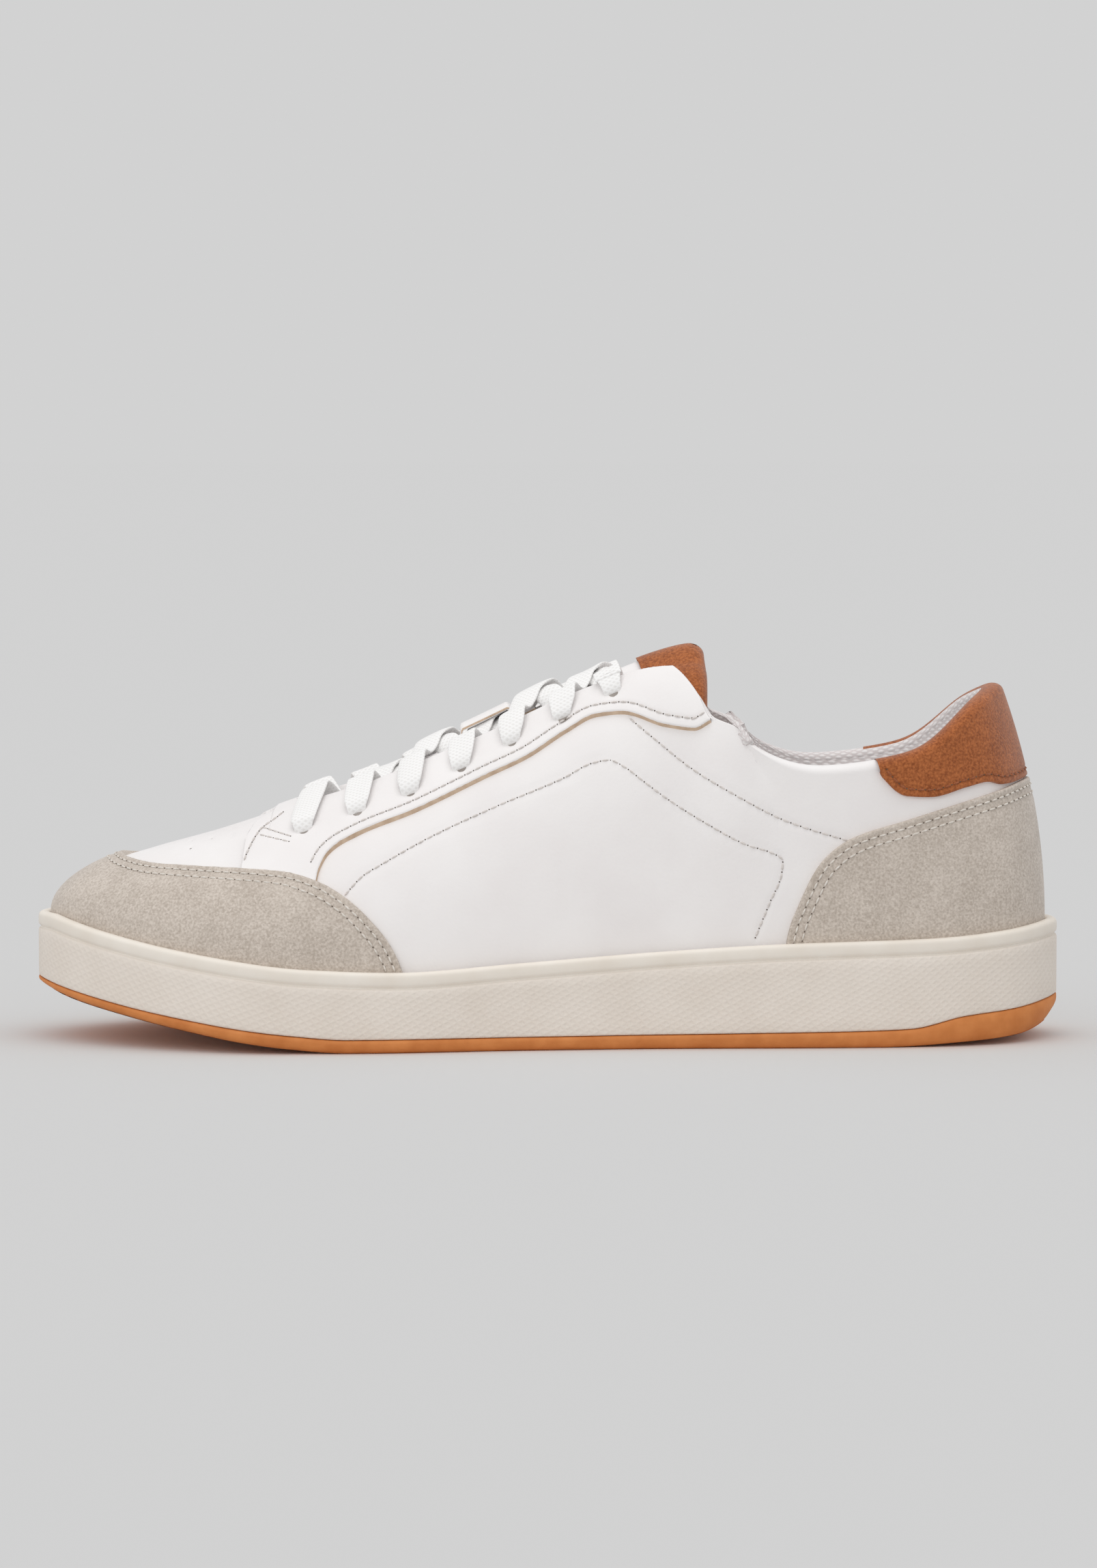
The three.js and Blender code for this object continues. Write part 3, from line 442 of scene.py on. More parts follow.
def grid_uv(points, measured=slice(None)):
    """Lengths along the measured rows of a grid of points, and across it, in millimetres."""
    along = np.linalg.norm(np.diff(points[:, measured], axis=0), axis=-1).mean(1)
    across = np.linalg.norm(np.diff(points, axis=1), axis=-1)
    u = np.concatenate([[0], np.cumsum(along)])
    w = np.concatenate([np.zeros((len(points), 1)), np.cumsum(across, 1)], 1)
    return np.stack([np.broadcast_to(u[:, None], w.shape), w], -1).reshape(-1, 2)


def sheet(name, points, flipped=False):
    """A mesh over a grid of points."""
    faces = grid_faces(*points.shape[:2])
    return make_mesh(name, points, faces[:, ::-1] if flipped else faces, grid_uv(points))


def nearest_distance(points, line):
    """Distance from each point to the nearest of a fine line's points."""
    tree = KDTree(len(line))
    for number, point in enumerate(line):
        tree.insert(point, number)
    tree.balance()
    flat = points.reshape(-1, 3)
    return np.array([tree.find(point)[2] for point in flat]).reshape(points.shape[:-1])


EDGE_ROWS = np.array([0, 0.1, 0.25, 0.45, 0.7, 1.1, 1.6])
EDGE_RADIUS = 0.6


def row_shares(length, middle):
    """Shares of each column's length: close together by both edges, even between them."""
    length = np.maximum(length, 0.05)[:, None]
    near = np.minimum(EDGE_ROWS[None] / length, EDGE_ROWS[None] / EDGE_ROWS[-1] * 0.3)
    start = near[:, -1:]
    between = start + (1 - 2 * start) * np.linspace(0, 1, middle)[None, 1:-1]
    return np.concatenate([near, between, 1 - near[:, ::-1]], 1)


def panel(name, v, low, high, outer, middle=26, low_wall=None, top_wall=None, skirt=0.0, dips=()):
    """A piece of the upper between two edges, given as t for each of its columns.

    low_wall and top_wall are the heights that its cut edges go down to, where they show. Each of the
    dips is a line pressed into the piece, with its depth and width.
    """
    low = np.broadcast_to(np.asarray(low, float), v.shape)
    high = np.maximum(high, low)
    shares = row_shares(rib_length(v) * (high - low), middle)
    t = low[:, None] + (high - low)[:, None] * shares
    wide = np.broadcast_to(v[:, None], t.shape)
    flat = upper_at(wide, t, outer)
    height = np.full(t.shape, float(outer))
    if top_wall is not None:
        height -= edge_drop(nearest_distance(flat, line_at(v, high, outer)))
    if low_wall is not None:
        height -= edge_drop(nearest_distance(flat, line_at(v, low, outer)))
    for line, depth, width in dips:
        height -= depth * np.exp(-((nearest_distance(flat, line) / width) ** 2))
    grids = [upper_at(wide, t, height)]
    if low_wall is not None:
        base = low - skirt / np.maximum(rib_length(v), 1) * (high > low)
        grids.insert(0, upper_at(v, base, low_wall)[:, None])
    if top_wall is not None:
        grids.append(upper_at(v, high, top_wall)[:, None])
    return sheet(name, np.concatenate(grids, 1), flipped=True)


def edge_drop(away):
    inside = np.clip(1 - away / EDGE_RADIUS, 0, 1)
    return EDGE_RADIUS * (1 - np.sqrt(np.maximum(1 - inside**2, 0)))


def sample(values, at, where):
    """The rows of values, which are given at the places `at`, at other places."""
    return np.stack([np.interp(where, at, values[:, i]) for i in range(values.shape[1])], 1)


def fine_line(points, step=0.25):
    """The same line with points close together."""
    at = lengths(points)
    return sample(points, at, np.linspace(0, at[-1], max(int(at[-1] / step), 2)))


def line_at(v, t, height):
    return fine_line(upper_at(v, t, height))


# ---- materials ----
class Look:
    """A procedural material, put together from noise, cells and woven waves."""

    def __init__(self, name, roughness, sheen=0.0, specular=0.5):
        self.material = bpy.data.materials.new(name)
        self.material.use_nodes = True
        self.nodes = self.material.node_tree.nodes
        self.links = self.material.node_tree.links
        self.shader = self.nodes["Principled BSDF"]
        self.shader.inputs["Roughness"].default_value = roughness
        self.shader.inputs["Sheen Weight"].default_value = sheen
        self.shader.inputs["Specular IOR Level"].default_value = specular
        self.place = self.nodes.new("ShaderNodeTexCoord")
        self.height = None

    def link(self, start, end):
        self.links.new(start, end)

    def noise(self, size, detail=3.0, distortion=0.0):
        """Noise between 0 and 1 whose lumps are about `size` millimetres."""
        node = self.nodes.new("ShaderNodeTexNoise")
        node.inputs["Scale"].default_value = 1000 / size
        node.inputs["Detail"].default_value = detail
        node.inputs["Distortion"].default_value = distortion
        self.link(self.place.outputs["Object"], node.inputs["Vector"])
        return node.outputs["Fac"]

    def cells(self, size, edges=False):
        node = self.nodes.new("ShaderNodeTexVoronoi")
        node.feature = "DISTANCE_TO_EDGE" if edges else "F1"
        node.inputs["Scale"].default_value = 1000 / size
        self.link(self.place.outputs["Object"], node.inputs["Vector"])
        return node.outputs["Distance"]

    def math(self, operation, first, second=None):
        node = self.nodes.new("ShaderNodeMath")
        node.operation = operation
        for socket, value in zip(node.inputs, (first, second)):
            if value is None:
                continue
            if isinstance(value, (int, float)):
                socket.default_value = value
            else:
                self.link(value, socket)
        return node.outputs[0]

    def waves(self, pitch, degrees, sharp=1.0):
        """Ridges of a given pitch in millimetres, at an angle to the piece's own length."""
        separate = self.nodes.new("ShaderNodeSeparateXYZ")
        self.link(self.place.outputs["UV"], separate.inputs[0])
        along = self.math("MULTIPLY", separate.outputs["X"], math.cos(math.radians(degrees)))
        across = self.math("MULTIPLY", separate.outputs["Y"], math.sin(math.radians(degrees)))
        turned = self.math("MULTIPLY", self.math("ADD", along, across), 2 * math.pi / pitch)
        wave = self.math("MULTIPLY", self.math("ADD", self.math("SINE", turned), 1.0), 0.5)
        return self.math("POWER", wave, sharp) if sharp != 1.0 else wave

    def color(self, factor, dark, light, low=0.3, high=0.7):
        ramp = self.nodes.new("ShaderNodeValToRGB")
        ramp.color_ramp.elements[0].position = low
        ramp.color_ramp.elements[1].position = high
        ramp.color_ramp.elements[0].color = srgb(dark)
        ramp.color_ramp.elements[1].color = srgb(light)
        self.link(factor, ramp.inputs[0])
        self.link(ramp.outputs[0], self.shader.inputs["Base Color"])

    def vary_roughness(self, factor, low, high):
        spread = self.nodes.new("ShaderNodeMapRange")
        spread.inputs["To Min"].default_value = low
        spread.inputs["To Max"].default_value = high
        self.link(factor, spread.inputs["Value"])
        self.link(spread.outputs[0], self.shader.inputs["Roughness"])

    def bump(self, factor, depth, strength=1.0):
        """Adds relief `depth` millimetres deep to what is there."""
        node = self.nodes.new("ShaderNodeBump")
        node.inputs["Distance"].default_value = depth * MM
        node.inputs["Strength"].default_value = strength
        self.link(factor, node.inputs["Height"])
        if self.height is not None:
            self.link(self.height, node.inputs["Normal"])
        self.height = node.outputs[0]
        self.link(self.height, self.shader.inputs["Normal"])


def srgb(color):
    """Blender's linear colour for an sRGB one whose channels go to 255."""
    shares = [channel / 255 for channel in color]
    return (*(c / 12.92 if c <= 0.04045 else ((c + 0.055) / 1.055) ** 2.4 for c in shares), 1.0)


def leather_look():
    look = Look("white_leather", 0.5, specular=0.35)
    look.color(look.noise(22, 3), (243, 239, 238), (248, 245, 244))
    look.vary_roughness(look.noise(3), 0.42, 0.6)
    look.bump(look.cells(0.9), 0.045, 0.5)
    look.bump(look.noise(0.35, 2), 0.03, 0.35)
    look.bump(look.noise(16, 2, 0.6), 0.35, 0.25)
    return look.material


def suede_look(name, dark, light):
    look = Look(name, 0.95, sheen=0.35, specular=0.12)
    fine = look.math("MULTIPLY", look.noise(0.7, 4), 0.75)
    mixed = look.math("ADD", fine, look.math("MULTIPLY", look.noise(9, 3), 0.25))
    look.color(mixed, dark, light, 0.36, 0.64)
    look.bump(look.noise(0.5, 3), 0.22, 0.9)
    look.bump(look.noise(1.6, 3), 0.1, 0.5)
    return look.material


def side_rubber_look():
    look = Look("cream_rubber", 0.6, specular=0.35)
    look.color(look.noise(14, 3), (232, 222, 211), (237, 228, 218))
    look.vary_roughness(look.noise(2), 0.52, 0.68)
    hatch = look.math("MAXIMUM", look.waves(1.7, 62, 1.5), look.waves(1.9, -38, 1.5))
    worn = look.math("MULTIPLY", hatch, look.math("ADD", look.noise(1.2, 3), 0.3))
    look.bump(worn, 0.13, 0.8)
    look.bump(look.noise(0.6, 2), 0.05, 0.5)
    return look.material


def grained_look(name, roughness, specular, grain, dark, light, bump, sheen=0.0, spread=None):
    """A plain material with one grain for its colour, one for its relief and one for its roughness."""
    look = Look(name, roughness, sheen, specular)
    look.color(look.noise(*grain), dark, light)
    if spread:
        look.vary_roughness(look.noise(spread[0]), *spread[1:])
    look.bump(look.noise(*bump[:2]), *bump[2:])
    return look.material


def mesh_look(name, dark, light, pitch):
    look = Look(name, 0.9, sheen=0.15, specular=0.15)
    weave = look.math("MULTIPLY", look.waves(pitch, 60), look.waves(pitch, -60))
    mixed = look.math("ADD", weave, look.math("MULTIPLY", look.noise(0.5), 0.12))
    # Painted shade: the colour follows the weave that also sets the bump, so the weave's hollows are painted
    # darker; the added noise is random tone.
    look.color(mixed, dark, light, 0.05, 0.5)
    look.bump(weave, 0.2, 0.7)
    look.bump(look.noise(0.3, 2), 0.05, 0.5)
    return look.material


def lace_look():
    look = Look("lace_weave", 0.88, sheen=0.25, specular=0.15)
    weave = look.math("MAXIMUM", look.waves(1.1, 32, 1.3), look.waves(1.1, -32, 1.3))
    # Painted shade: the colour follows the weave that also sets the bump, so the grooves between the
    # chevrons are painted darker.
    look.color(weave, (240, 238, 236), (251, 250, 249), 0.1, 0.75)
    look.bump(weave, 0.1, 0.7)
    look.bump(look.noise(0.25, 2), 0.06, 0.5)
    return look.material


def fibre_look(name, dark, light):
    return grained_look(name, 0.9, 0.15, (2.5, 4), dark, light, (0.7, 3, 0.15, 0.6))


def thread_look(name, dark, light):
    return grained_look(name, 0.75, 0.2, (0.6, 2), dark, light, (0.3, 2, 0.05, 0.6), sheen=0.2)


LEATHER_LOOK = leather_look()
GREY_SUEDE = suede_look("grey_suede", (186, 174, 162), (220, 209, 198))
TAN_SUEDE = suede_look("tan_suede", (138, 74, 38), (188, 112, 64))
SIDE_RUBBER = side_rubber_look()
BEAD_RUBBER = grained_look(
    "cream_bead", 0.5, 0.4, (12, 3), (236, 227, 215), (243, 236, 226), (0.8, 2, 0.03, 0.4),
    spread=(3, 0.45, 0.58),
)
GUM = grained_look(
    "gum_rubber", 0.6, 0.35, (6, 4), (205, 124, 62), (222, 142, 78), (0.9, 3, 0.08, 0.6),
    spread=(2, 0.5, 0.7),
)
TREAD = grained_look("gum_tread", 0.65, 0.3, (8, 4), (200, 120, 62), (216, 136, 74), (0.8, 3, 0.08, 0.6))
MESH_CLOTH = mesh_look("spacer_mesh", (222, 214, 213), (244, 240, 239), 1.6)
SOCK_CLOTH = mesh_look("sock_mesh", (214, 208, 204), (238, 234, 231), 1.2)
LACE_CLOTH = lace_look()
RAW_EDGE = fibre_look("raw_leather_edge", (196, 170, 146), (222, 198, 174))
FOAM = fibre_look("foam", (206, 201, 192), (222, 218, 210))
BOARD = fibre_look("board", (170, 165, 157), (196, 191, 183))
PALE_THREAD = thread_look("pale_thread", (214, 206, 196), (236, 230, 222))
WHITE_THREAD = thread_look("white_thread", (206, 199, 194), (232, 226, 222))
TAN_THREAD = thread_look("tan_thread", (140, 78, 44), (170, 100, 62))
# Painted shade: dark spots that stand in for the shade inside needle holes and punched holes.
HOLE_SHADE = fibre_look("needle_hole_shade", (84, 74, 66), (112, 100, 90))
EYELET_DARK = fibre_look("eyelet_shade", (150, 142, 136), (176, 168, 162))


def piece(obj, look, body="shoe"):
    obj.data.materials.clear()
    obj.data.materials.append(look)
    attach(obj, body)
    return obj


def second_look(obj, look, chosen):
    """Gives the faces whose numbers are chosen a second material."""
    obj.data.materials.append(look)
    for number in chosen:
        obj.data.polygons[int(number)].material_index = len(obj.data.materials) - 1


# ---- sewing ----
STITCH = (2.0, 0.62, 0.55)
STITCH_PITCH = 2.75
# Needle holes and punched holes are shown as dark blobs of painted shade, this big and sunk this deep.
NEEDLE_HOLE = (0.42, 0.42, 0.3)
NEEDLE_DEPTH = 0.05
PUNCH = (1.0, 1.0, 0.24)
PUNCH_DEPTH = 0.42
EYELET = (5.4, 5.4, 0.5)
EYELET_DEPTH = 0.62
# Distances of the two rows of stitches from a suede cover's edge.
DOUBLE_ROW = (2.0, 4.3)
# Dents in the surface along a seam, a row of stitches or a hole: depth and width.
DOUBLE_DENT = (0.28, 0.7)
COLLAR_DENT = (0.25, 0.7)
ROW_DENT = (0.2, 0.7)
SEAM_DENT = (0.3, 0.8)
PUNCH_DENT = (0.5, 0.75)
EYELET_DENT = (0.7, 2.2)
LOOK_ALONG = 0.4
SAME_PLACE = 1e-4


def blobs(name, centres, along, up, size, look):
    """Small rounded bodies: one for each centre, lying along a direction on a surface."""
    rings, around_count = 5, 6
    polar = np.linspace(0.12, math.pi - 0.12, rings)
    turn = np.arange(around_count) * 2 * math.pi / around_count
    shape = np.stack([
        np.repeat(np.cos(polar), around_count) * size[0] / 2,
        np.outer(np.sin(polar), np.cos(turn)).ravel() * size[1] / 2,
        np.outer(np.sin(polar), np.sin(turn)).ravel() * size[2] / 2,
    ], 1)
    side = unit(np.cross(up, along))
    frames = np.stack([unit(along), side, unit(up)], 1)
    points = centres[:, None] + np.einsum("pk,nkc->npc", shape, frames)
    one = tube_faces(rings, around_count)[:, [0, 3, 2, 1]]
    faces = one[None] + (np.arange(len(centres)) * len(shape))[:, None, None]
    return piece(make_mesh(name, points, faces.reshape(-1, 4)), look)


def stitch_row(name, v, t, height, look, slot, pitch=STITCH_PITCH):
    """A row of stitches along places (v, t) of the upper, with dark blobs between them as painted shade
    inside the needle holes.
    """
    line = upper_at(v, t, height)
    keep = np.concatenate([[True], np.linalg.norm(np.diff(line, axis=0), axis=-1) > SAME_PLACE])
    line, v, t = line[keep], v[keep], t[keep]
    at = lengths(line)
    count = max(int(at[-1] / pitch), 1)
    where = (np.arange(count) + 0.5) * at[-1] / count
    here = sample(np.stack([v, t], 1), at, where)
    centres = sample(line, at, where)
    ahead = sample(line, at, np.minimum(where + LOOK_ALONG, at[-1]))
    behind = sample(line, at, np.maximum(where - LOOK_ALONG, 0))
    direction = unit(ahead - behind)
    up = upper_normal(here[:, 0], here[:, 1])
    blobs(name, centres, direction, up, STITCH, look)
    between = np.minimum(where + at[-1] / count / 2, at[-1])
    spots = sample(line, at, between) - up * NEEDLE_DEPTH
    # Painted shade: a dark blob sunk at each needle hole.
    blobs(name + "_hole_shade", spots, direction, up, NEEDLE_HOLE, HOLE_SHADE)


def inside_edge(v, t, distance, height):
    """The line `distance` millimetres to the side of an edge: downwards if positive, upwards if negative."""
    direction = unit(np.gradient(upper_at(v, t, height), axis=0))
    across = np.cross(upper_normal(v, t), direction)
    across *= np.where(across[:, 2:3] > 0, -1, 1) * np.sign(distance)
    return slide(v, t, across * abs(distance))


# ---- sole ----
SOLE_PLACES = np.linspace(-1, 1, 901)[:-1]


def sole_grid(rings):
    columns = []
    for inset, height in rings:
        x, y = outline(SOLE_PLACES, inset)
        columns.append(np.stack([x, y, height(outline_x(SOLE_PLACES))], 1))
    return np.stack(columns, 1)


def sole_sheet(name, rings):
    """A closed band round the sole through its rings, each an inset and a height curve."""
    grid = sole_grid(rings)
    faces = grid_faces(*grid.shape[:2], closed=True)[:, ::-1]
    return make_mesh(name, grid, faces, grid_uv(grid, slice(1)))


def above(height, lift):
    return lambda x: height(x) + lift


def between(low, high, share):
    return lambda x: low(x) + share * (high(x) - low(x))


BEAD_FROM = 13
BEAD_ROUND = 1.3
# The cup's rim in section, from the groove under the bead to the inside: inset and height above the rim.
RIM_PROFILE = [
    (0.25, -BEAD - 0.75), (0.62, -BEAD - 0.45), (0.75, -BEAD - 0.15), (0.45, -BEAD + 0.15),
    (0.12, -BEAD + 0.5), (0.02, -BEAD + 1.1), (0.0, -BEAD / 2), (0.05, -BEAD_ROUND),
]
for bead_turn in np.radians((20, 40, 60, 80)):
    RIM_PROFILE.append((0.05 + 1.5 * (1 - math.cos(bead_turn)), BEAD_ROUND * (math.sin(bead_turn) - 1)))
RIM_PROFILE += [(2.6, -0.05), (3.3, -0.5), (CUP_WALL, -1.4), (CUP_WALL + 0.1, -8)]


def cupsole():
    rings = [(inset, above(strip_height, lift)) for inset, lift in ((3.0, 0.2), (0.5, 0.2), (0.12, 0.45))]
    wall_low, wall_high = above(strip_height, 0.9), above(rim_height, -BEAD - 1.2)
    rings += [(0.02, between(wall_low, wall_high, share)) for share in np.linspace(0, 1, 9)]
    rings += [(inset, above(rim_height, lift)) for inset, lift in RIM_PROFILE]
    obj = piece(sole_sheet("cupsole_wall", rings), SIDE_RUBBER)
    numbers = range(len(SOLE_PLACES) * (len(rings) - 1))
    second_look(obj, BEAD_RUBBER, [i for i in numbers if i % (len(rings) - 1) >= BEAD_FROM])
    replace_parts(obj, "cupsole")


TREAD_PITCH = 6.5
TREAD_DEPTH = 1.5
TREAD_INSET = 2.2
PIVOT_X = -82
PIVOT_RADIUS = 26
PIVOT_PITCH = 4.2


def tread_points():
    """The underside as a fine grid across the shoe, with chevron grooves pressed upwards into it."""
    shares = np.linspace(-1, 1, 81)
    places = np.linspace(0.02, 0.98, 560)
    left_x, left_y = outline(-places, TREAD_INSET)
    right_x, right_y = outline(places, TREAD_INSET)
    blend = (shares[None] + 1) / 2
    x = left_x[:, None] * (1 - blend) + right_x[:, None] * blend
    y = left_y[:, None] * (1 - blend) + right_y[:, None] * blend
    plain_edge = smooth(1.0, 0.93, np.abs(shares))[None]
    chevron = np.abs((x / TREAD_PITCH + np.abs(y) / TREAD_PITCH * 0.6) % 1 - 0.5) * 2
    from_pivot = np.hypot(x - PIVOT_X, y)
    ring = np.abs(from_pivot / PIVOT_PITCH % 1 - 0.5) * 2
    on_pivot = smooth(PIVOT_RADIUS, PIVOT_RADIUS - 1.5, from_pivot)
    groove = smooth(0.62, 0.8, chevron) * (1 - on_pivot) + smooth(0.5, 0.75, ring) * on_pivot
    return np.stack([x, y, ground_height(x) + TREAD_DEPTH * plain_edge * groove], -1)


def outsole():
    rings = [(inset, above(ground_height, lift)) for inset, lift in ((2.4, 0), (1.7, 0.04), (1.0, 0.35))]
    for inset, share in ((0.45, 0.25), (0.12, 0.45), (0.0, 0.7), (0.05, 0.93), (0.35, 1)):
        rings.append((inset, between(ground_height, strip_height, share)))
    rings.append((3.0, above(strip_height, 0.05)))
    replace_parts(piece(sole_sheet("outsole_strip", rings), GUM), "outsole")
    piece(sheet("outsole_tread", tread_points()), TREAD)


def board_height(x):
    return rim_height(x) - TUCK - GAP


def sockliner():
    edge = SEAT + 3.6
    profile = [
        (0.8, 0.3), (0, 1.2), (0, SOCKLINER_TOP - 1.4), (0.4, SOCKLINER_TOP - 0.5), (1.6, SOCKLINER_TOP),
        (6.6, SOCKLINER_TOP - 0.8), (11.6, SOCKLINER_TOP - 1.4), (17.6, SOCKLINER_TOP - 1.6),
    ]
    rings = [(edge + inset, above(board_height, lift)) for inset, lift in profile]
    top = sole_sheet("sockliner_cover", rings)
    fill_middle(top, len(rings), len(SOLE_PLACES))
    piece(top, SOCK_CLOTH, "sockliner")
    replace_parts(top, "sockliner")


def fill_middle(obj, rows, count):
    """Closes the last ring of a band round the sole with strips across the shoe."""
    work = bmesh.new()
    work.from_mesh(obj.data)
    work.verts.ensure_lookup_table()
    toe = count // 2
    for k in range(toe):
        corners = (toe - k, toe - k - 1, toe + k + 1, toe + k)
        used = list(dict.fromkeys(corner % count for corner in corners))
        if len(used) > 2:
            work.faces.new([work.verts[i * rows + rows - 1] for i in used])
    bmesh.ops.recalc_face_normals(work, faces=work.faces)
    work.to_mesh(obj.data)
    work.free()
    obj.data.shade_smooth()


# ---- upper ----
COLUMN_STEP = 0.0028
DENSE_COLUMNS = 60
SIDES = (("lateral", -1), ("medial", 1))


def columns(start, end, *dense):
    """Places round the shoe from start to end, closer together in the dense stretches."""
    parts = [np.linspace(start, end, int((end - start) / COLUMN_STEP))]
    parts += [np.linspace(a, b, DENSE_COLUMNS) for a, b in dense]
    return np.unique(np.round(np.concatenate(parts), 6))


def mirrored(v, side):
    return v if side > 0 else -v[::-1]


def hole_places():
    """Places (v, t) of the lace holes on each side."""
    row = [[-70.6, 62.3], [-40, 73.1], [-11, 87.3], [18.5, 101.6]]
    x = np.linspace(row[0][0], row[-1][0], 400)
    line = np.stack([x, monotone(row)(x)], 1)
    at = lengths(line)
    wanted = sample(line, at, np.linspace(0, at[-1], HOLES))
    return {name: locate([0, 2], wanted, side, OVERLAY) for name, side in SIDES}


HOLE_PLACES = hole_places()


def suede_overlay(name, stitches, v, edge):
    """A suede cover from the cup up to an edge, with two rows of stitches below the edge."""
    top = crossing(v, edge)
    rows = [inside_edge(v, top, distance, GUARD_OUT) for distance in DOUBLE_ROW]
    dips = [(line_at(*row, GUARD_OUT), *DOUBLE_DENT) for row in rows]
    cover = panel(f"{name}_suede", v, BURIED, top, GUARD_OUT, top_wall=0.2, dips=dips)
    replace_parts(piece(cover, GREY_SUEDE), name)
    for number, (row_v, row_t) in enumerate(rows):
        shown = row_t > -0.05
        row = row_v[shown], row_t[shown]
        stitch_row(f"{stitches}_{number}", *row, GUARD_OUT - 0.02, PALE_THREAD, "grey_suede")


def toe_guard():
    v = columns(-0.46, 0.46, (-0.46, -0.38), (0.38, 0.46))
    suede_overlay("toe_guard", "guard_stitches", v, guard_edge)


def heel_counter():
    v = columns(0.69, 1.31, (0.69, 0.73), (1.27, 1.31))
    suede_overlay("heel_counter", "counter_stitches", v, counter_edge)


PUNCH_X = (-104, -98, -92, -86)
PUNCH_Y = ((-14, -7, 0.02, 7, 14), (-10.5, -3.5, 3.5, 10.5))


def punch_places():
    """Places (v, t) of the vamp's punched holes."""
    places = []
    for row, x in enumerate(PUNCH_X):
        for y in PUNCH_Y[row % 2]:
            v, t = locate([0, 1], [[x, y]], -1 if y < 0 else 1, LEATHER)
            places.append((v[0], t[0]))
    return np.array(places).T


def facing(v, t):
    """The directions up from the upper and along the shoe at some places."""
    up = upper_normal(v, t)
    return up, np.cross(up, np.array([0.0, 1.0, 0.0]))


def vamp():
    v = columns(-0.305, 0.305, (-0.305, -0.28), (0.28, 0.305))
    punches = punch_places()
    spots = upper_at(*punches, LEATHER)
    dips = [(spots, *PUNCH_DENT)]
    leather = panel("vamp_leather", v, BURIED, throat_edge(v), LEATHER, middle=70, dips=dips)
    merge_close(leather)
    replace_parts(piece(leather, LEATHER_LOOK), "vamp")
    up, along = facing(*punches)
    # Painted shade: a dark blob sunk in each punch dent stands in for the shade inside the hole.
    blobs("vamp_punch_shade", spots - up * PUNCH_DEPTH, along, up, PUNCH, HOLE_SHADE)


def padding(v, t):
    """How thick the foam behind the lining is."""
    across = smooth(0.71, 0.82, from_toe(v))
    return COLLAR_PAD * across * smooth(0.48, 0.78, t) * (1 - 0.45 * smooth(0.85, 1, t))


SEAM_A = [
    (23, 94.5), (30, 88.8), (41.7, 79.6), (54, 72.3), (67.5, 65.3), (76, 62.3), (86.6, 59.2),
]
SEAM_B = [
    (-58.5, 44.2), (-53, 50), (-48, 53), (-33.5, 60.9), (-15.6, 69), (4.3, 77.3), (12.8, 81.6),
    (17.4, 82.4), (21.6, 80.6), (27.3, 76.4), (33.5, 71.8), (44.7, 64.7), (57, 58.2), (64.3, 55.8),
    (67.3, 53.6), (67, 50.2), (63.3, 41), (59.4, 31.5),
]


def seam_places(points, side):
    """Places (v, t) along a smooth line drawn from the side."""
    points = np.array(points, float)
    at = lengths(points)
    even = np.linspace(0, at[-1], 160)
    line = np.stack([monotone(np.stack([at, points[:, i]], 1))(even) for i in (0, 1)], 1)
    return locate([0, 2], line, side, LEATHER)


def quarters():
    for name, side in SIDES:
        v = mirrored(columns(0.3, 1.0, (0.6, 0.7), (0.3, 0.34)), side)
        seams = [seam_places(points, side) for points in (SEAM_A, SEAM_B)]
        dips = [(line_at(*seam, LEATHER), *SEAM_DENT) for seam in seams]
        leather = panel(f"quarter_{name}_leather", v, BURIED, collar_top(v), LEATHER, middle=60, dips=dips)
        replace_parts(piece(leather, LEATHER_LOOK), f"quarter_{name}")
        for letter, seam in zip("ab", seams):
            stitches = f"quarter_{name}_seam_{letter}"
            stitch_row(stitches, *seam, LEATHER - 0.08, WHITE_THREAD, "white_leather", pitch=2.9)


STITCHED_FROM = -65.5
# Rows of stitches by the eyestay's front edge, seen from the side: the row behind it and two tacks.
FRONT_ROW = [(-87.2, 52.4), (-86.2, 55), (-83, 60.4), (-78.5, 63.6), (-76.6, 65)]
TACKS = (((-82.2, 61), (-73.9, 59.2)), ((-83.2, 59.2), (-74.3, 57.8)))


def eyestay(name, side):
    v = mirrored(columns(0.262, 0.68, (0.262, 0.345), (0.6, 0.68)), side)
    low = crossing(v, eyestay_lower)
    top = np.minimum(np.minimum(crossing(v, eyestay_front), throat_edge(v)), crossing(v, eyestay_rear))
    shown = top > low + 0.004
    v, low, top = v[shown], low[shown], top[shown]
    holes = upper_at(*HOLE_PLACES[name], OVERLAY)
    sewn = upper_at(v, low, OVERLAY)[:, 0] > STITCHED_FROM
    row = inside_edge(v[sewn], low[sewn], -2.7, OVERLAY)
    front = seam_places(FRONT_ROW, side)
    dips = [(holes, *EYELET_DENT)] + [(line_at(*line, OVERLAY), *ROW_DENT) for line in (row, front)]
    leather = panel(
        f"eyestay_{name}_leather", v, low, top, OVERLAY, middle=44,
        low_wall=LEATHER - 0.05, top_wall=LINING - 0.3, skirt=0.7, dips=dips,
    )
    piece(leather, LEATHER_LOOK)
    rows = len(leather.data.vertices) // len(v) - 1
    second_look(leather, RAW_EDGE, range(0, len(leather.data.polygons), rows))
    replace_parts(leather, f"eyestay_{name}")
    sew = {"look": WHITE_THREAD, "slot": "white_leather"}
    stitch_row(f"eyestay_{name}_stitches", *row, OVERLAY, **sew)
    stitch_row(f"eyestay_{name}_front", *front, OVERLAY, **sew)
    for number, ends in enumerate(TACKS):
        tack = seam_places(ends, side)
        stitch_row(f"eyestay_{name}_tack_{number}", *tack, OVERLAY + 0.05, **sew, pitch=2.3)
    up, along = facing(*HOLE_PLACES[name])
    blobs(f"eyelets_{name}", holes - up * EYELET_DEPTH, along, up, EYELET, EYELET_DARK)


